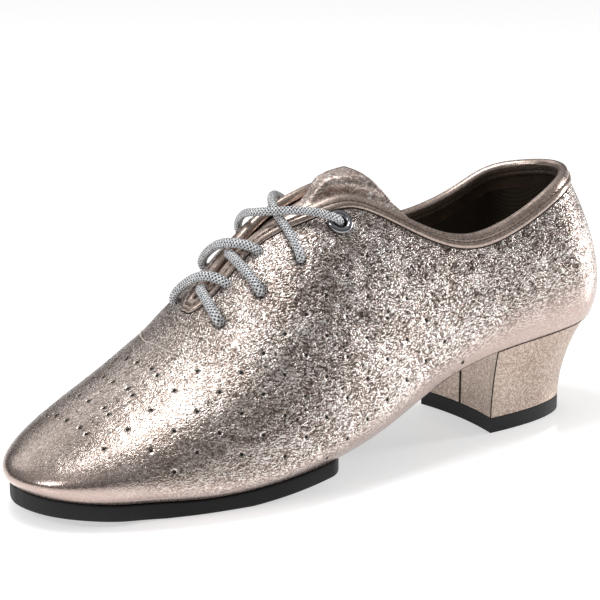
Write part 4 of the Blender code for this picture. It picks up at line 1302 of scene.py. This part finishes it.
def eyelet(name, side, node):
    """Profile of (radius, out) pairs turned round the hole's normal."""
    point, normal = last_frame(*hole_place(len(HOLE_ROWS) - 1, side), side)
    bore, barrel, flange = EYELET_BORE / 2, EYELET_BARREL / 2, EYELET_DIAMETER / 2
    middle = (bore + flange) / 2
    crown = [
        (middle + (flange - middle) * np.cos(a), EYELET_FOOT + EYELET_EDGE + EYELET_CROWN * np.sin(a))
        for a in np.linspace(0, np.pi, 13)
    ]
    ring = [(barrel, EYELET_FOOT)] + crown + [(bore, -WALL - GAP), (barrel, -WALL - GAP)]
    turns = np.linspace(0, 2 * np.pi, 64, endpoint=False)
    across = unit(np.cross(normal, [0.0, 1.0, 0.0]))
    other = np.cross(normal, across)
    spokes = np.cos(turns)[:, None] * across + np.sin(turns)[:, None] * other
    grid = np.stack([point + spokes * radius + normal * out for radius, out in ring], axis=1)
    piece = grid_piece(name, grid, True, True, nickel, flip=True)
    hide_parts(node)


eyelet("rolled_eyelet_near", -1.0, "eyelet_near")
eyelet("rolled_eyelet_far", 1.0, "eyelet_far")

# %% [markdown]
# ## The lace
# The lace is a round braid, 4 mm thick. It comes out of the lowest pair of holes, crosses over the throat and
# dives under the opposite facing, comes out of the next hole, and so on up to the eyelets, which it enters
# from outside. Each strand is a smooth curve over the last, through listed places.

# %% Lace strands
LACE_SIDES = 28
LACE_STEPS = 80
PULLED_THIN = 0.93, 0.90, 0.78

# Each strand's route, a row for each place: the share of the length, how far the place lies aside of the
# ridge (-1 to 1, the outer side below 0), and how high the lace's middle runs over the last, in mm. The
# lace is drawn thinner where it is pulled tighter, towards the top.
OVER_ROUTES = [
    [[.691, .205, -1.6], [.690, .198, 0.8], [.686, .170, 2.1], [.677, .110, 3.2], [.669, .040, 4.1],
     [.661, -.028, 4.3], [.656, -.076, 3.0], [.653, -.112, 0.6], [.652, -.126, -1.6]],
    [[.630, .275, -1.6], [.630, .266, 0.8], [.629, .232, 2.1], [.625, .160, 3.2], [.619, .070, 4.2],
     [.613, -.012, 4.7], [.606, -.078, 4.0], [.600, -.122, 2.2], [.597, -.146, 0.0], [.596, -.158, -1.8]],
    [[.558, .325, -1.6], [.559, .314, 0.8], [.562, .272, 2.1], [.565, .180, 3.3], [.565, .080, 4.5],
     [.560, -.030, 5.5], [.544, -.107, 5.3], [.522, -.168, 4.3], [.503, -.216, 3.4], [.488, -.268, 3.1],
     [.477, -.303, 2.4], [.471, -.316, 0.8], [.470, -.318, -2.2]],
]
UNDER_ROUTES = [
    [[.691, -.227, -1.6], [.691, -.219, 1.0], [.689, -.190, 2.2], [.684, -.125, 2.3], [.679, -.060, 2.2],
     [.675, -.022, 1.8], [.672, .010, 0.2], [.670, .028, -1.6]],
    [[.630, -.297, -1.6], [.630, -.288, 1.0], [.629, -.255, 2.2], [.627, -.163, 2.5], [.623, -.056, 2.3],
     [.621, -.010, 1.4], [.620, .018, -0.6], [.619, .030, -2.0]],
    [[.558, -.337, -1.6], [.558, -.328, 1.0], [.556, -.292, 2.1], [.550, -.203, 2.5], [.545, -.118, 2.3],
     [.535, -.020, 2.7], [.518, .090, 3.2], [.498, .200, 3.3], [.481, .290, 3.0], [.473, .340, 2.3],
     [.4705, .357, 0.8], [.470, .360, -2.2]],
]


def smooth_path(points, count):
    """Cubic spline through points, spaced by their distance from each other."""
    points = np.array(points)
    at = path_length(points)
    x = np.linspace(0, at[-1], count)
    return spline_path(at, points, x)


def lace_strand(name, route, node, slim):
    """Lace along its route, a little wider than high where it is pulled tight over the facings."""
    share, aside, out = np.array(route).T
    point, normal = charted_frame(share, aside)
    places = point + normal * (out * MM)[:, None]
    path = smooth_path(places, LACE_STEPS)
    run = path_length(places)
    along = np.linspace(0, run[-1], LACE_STEPS)
    up = unit(read_path(along, run, normal))
    rings = tube(path, LACE_DIAMETER / 2 * slim, LACE_DIAMETER / 2 * slim * 0.9, up, LACE_SIDES)
    turns = np.linspace(0, 1, LACE_SIDES + 1)
    piece = grid_piece(name, rings, False, True, lace_braid, u=path_length(path), v=turns)
    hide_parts(node)
    print(f"{name}: {path_length(path)[-1] / MM:.0f} mm long")


for number in range(3):
    node = f"lace_crossing_{number + 1}"
    lace_strand(f"lace_over_{number + 1}", OVER_ROUTES[number], node, PULLED_THIN[number])
    lace_strand(f"lace_under_{number + 1}", UNDER_ROUTES[number], node, PULLED_THIN[number])

# %% [markdown]
# ## Floor, light and camera
# The floor is a plain pale sheet with a soft shine. One soft light hangs above the vamp, one stands low
# behind the heel and one in front of the toe, and a wide weak one lies at the far side. The sky is dim near
# the floor and grows brighter upwards. The camera looks at the outer side from the front quarter, from the
# same point as the one for which the pinholes were laid out.

# %% Floor
FLOOR_REACH = 4.0

floor_finish, _, _ = new_finish(
    "pale_floor", Base_Color=linear("#F2F2F2"), Roughness=0.08, Emission_Color=linear("#FFFFFF"),
    Emission_Strength=0.56,
)
floor_mesh = bpy.data.meshes.new("floor")
corners = [(x * FLOOR_REACH, y * FLOOR_REACH, 0.0) for x, y in ((-1, -1), (1, -1), (1, 1), (-1, 1))]
floor_mesh.from_pydata(corners, [], [(0, 1, 2, 3)])
floor_mesh.materials.append(floor_finish)
floor = bpy.data.objects.new("floor", floor_mesh)
bpy.context.scene.collection.objects.link(floor)
print("floor:", 2 * FLOOR_REACH, "m square")


# %% Lights
def soft_light(name, place, aim, width, height, power):
    """A rectangular area light that faces a point."""
    data = bpy.data.lights.new(name, "AREA")
    data.shape = "RECTANGLE"
    data.size = width
    data.size_y = height
    data.energy = power
    lamp = bpy.data.objects.new(name, data)
    lamp.location = place
    direction = Vector(aim) - Vector(place)
    lamp.rotation_mode = "QUATERNION"
    lamp.rotation_quaternion = direction.to_track_quat("-Z", "Y")
    bpy.context.scene.collection.objects.link(lamp)


soft_light("top_light", (-0.12, 0.12, 1.05), (-0.05, 0, 0.03), 0.42, 0.30, 5.5)
soft_light("heel_light", (1.15, -0.22, 0.20), (0.09, 0, 0.07), 0.22, 0.45, 6.5)
soft_light("front_light", (-1.15, -0.15, 0.80), (-0.06, 0, 0.04), 0.35, 0.30, 4.0)
soft_light("back_light", (0.1, 1.2, 0.9), (0.0, 0, 0.05), 1.1, 0.5, 2.0)
world = bpy.data.worlds.new("studio")
world.use_nodes = True
sky = world.node_tree
rise_of_sky = add(sky, "SeparateXYZ", out="Z", Vector=add(sky, "TexCoord", out="Generated"))
glow = add(sky, "ValToRGB", Fac=rise_of_sky,
           stops=((0.0, "#4A4846"), (0.22, "#5A5856"), (0.75, "#C8C8C8"), (1.0, "#E8E8E8")))
feed(sky.nodes["Background"], Color=glow, Strength=0.60)
bpy.context.scene.world = world
bpy.context.scene.view_settings.view_transform = "Standard"
print("lights:", len(bpy.data.lights))

# %% Camera
FOCAL_PIXELS = 2960.0
FRAME_PIXELS = 600.0
TARGET_PIXEL = 305.7, 346.8

back = Vector(strike_axes()[2])
camera_data = bpy.data.cameras.new("camera")
camera_data.sensor_width = 36.0
camera_data.lens = FOCAL_PIXELS / FRAME_PIXELS * camera_data.sensor_width
camera_data.shift_x = -(TARGET_PIXEL[0] - FRAME_PIXELS / 2) / FRAME_PIXELS
camera_data.shift_y = (TARGET_PIXEL[1] - FRAME_PIXELS / 2) / FRAME_PIXELS
camera_data.clip_start = 0.05
camera_data.clip_end = 20.0
camera = bpy.data.objects.new("camera", camera_data)
camera.location = Vector(STRIKE_MIDDLE) + back * STRIKE_DISTANCE
camera.rotation_mode = "QUATERNION"
camera.rotation_quaternion = (-back).to_track_quat("-Z", "Y")
bpy.context.scene.collection.objects.link(camera)
bpy.context.scene.camera = camera
print("camera at", [round(v, 3) for v in camera.location])
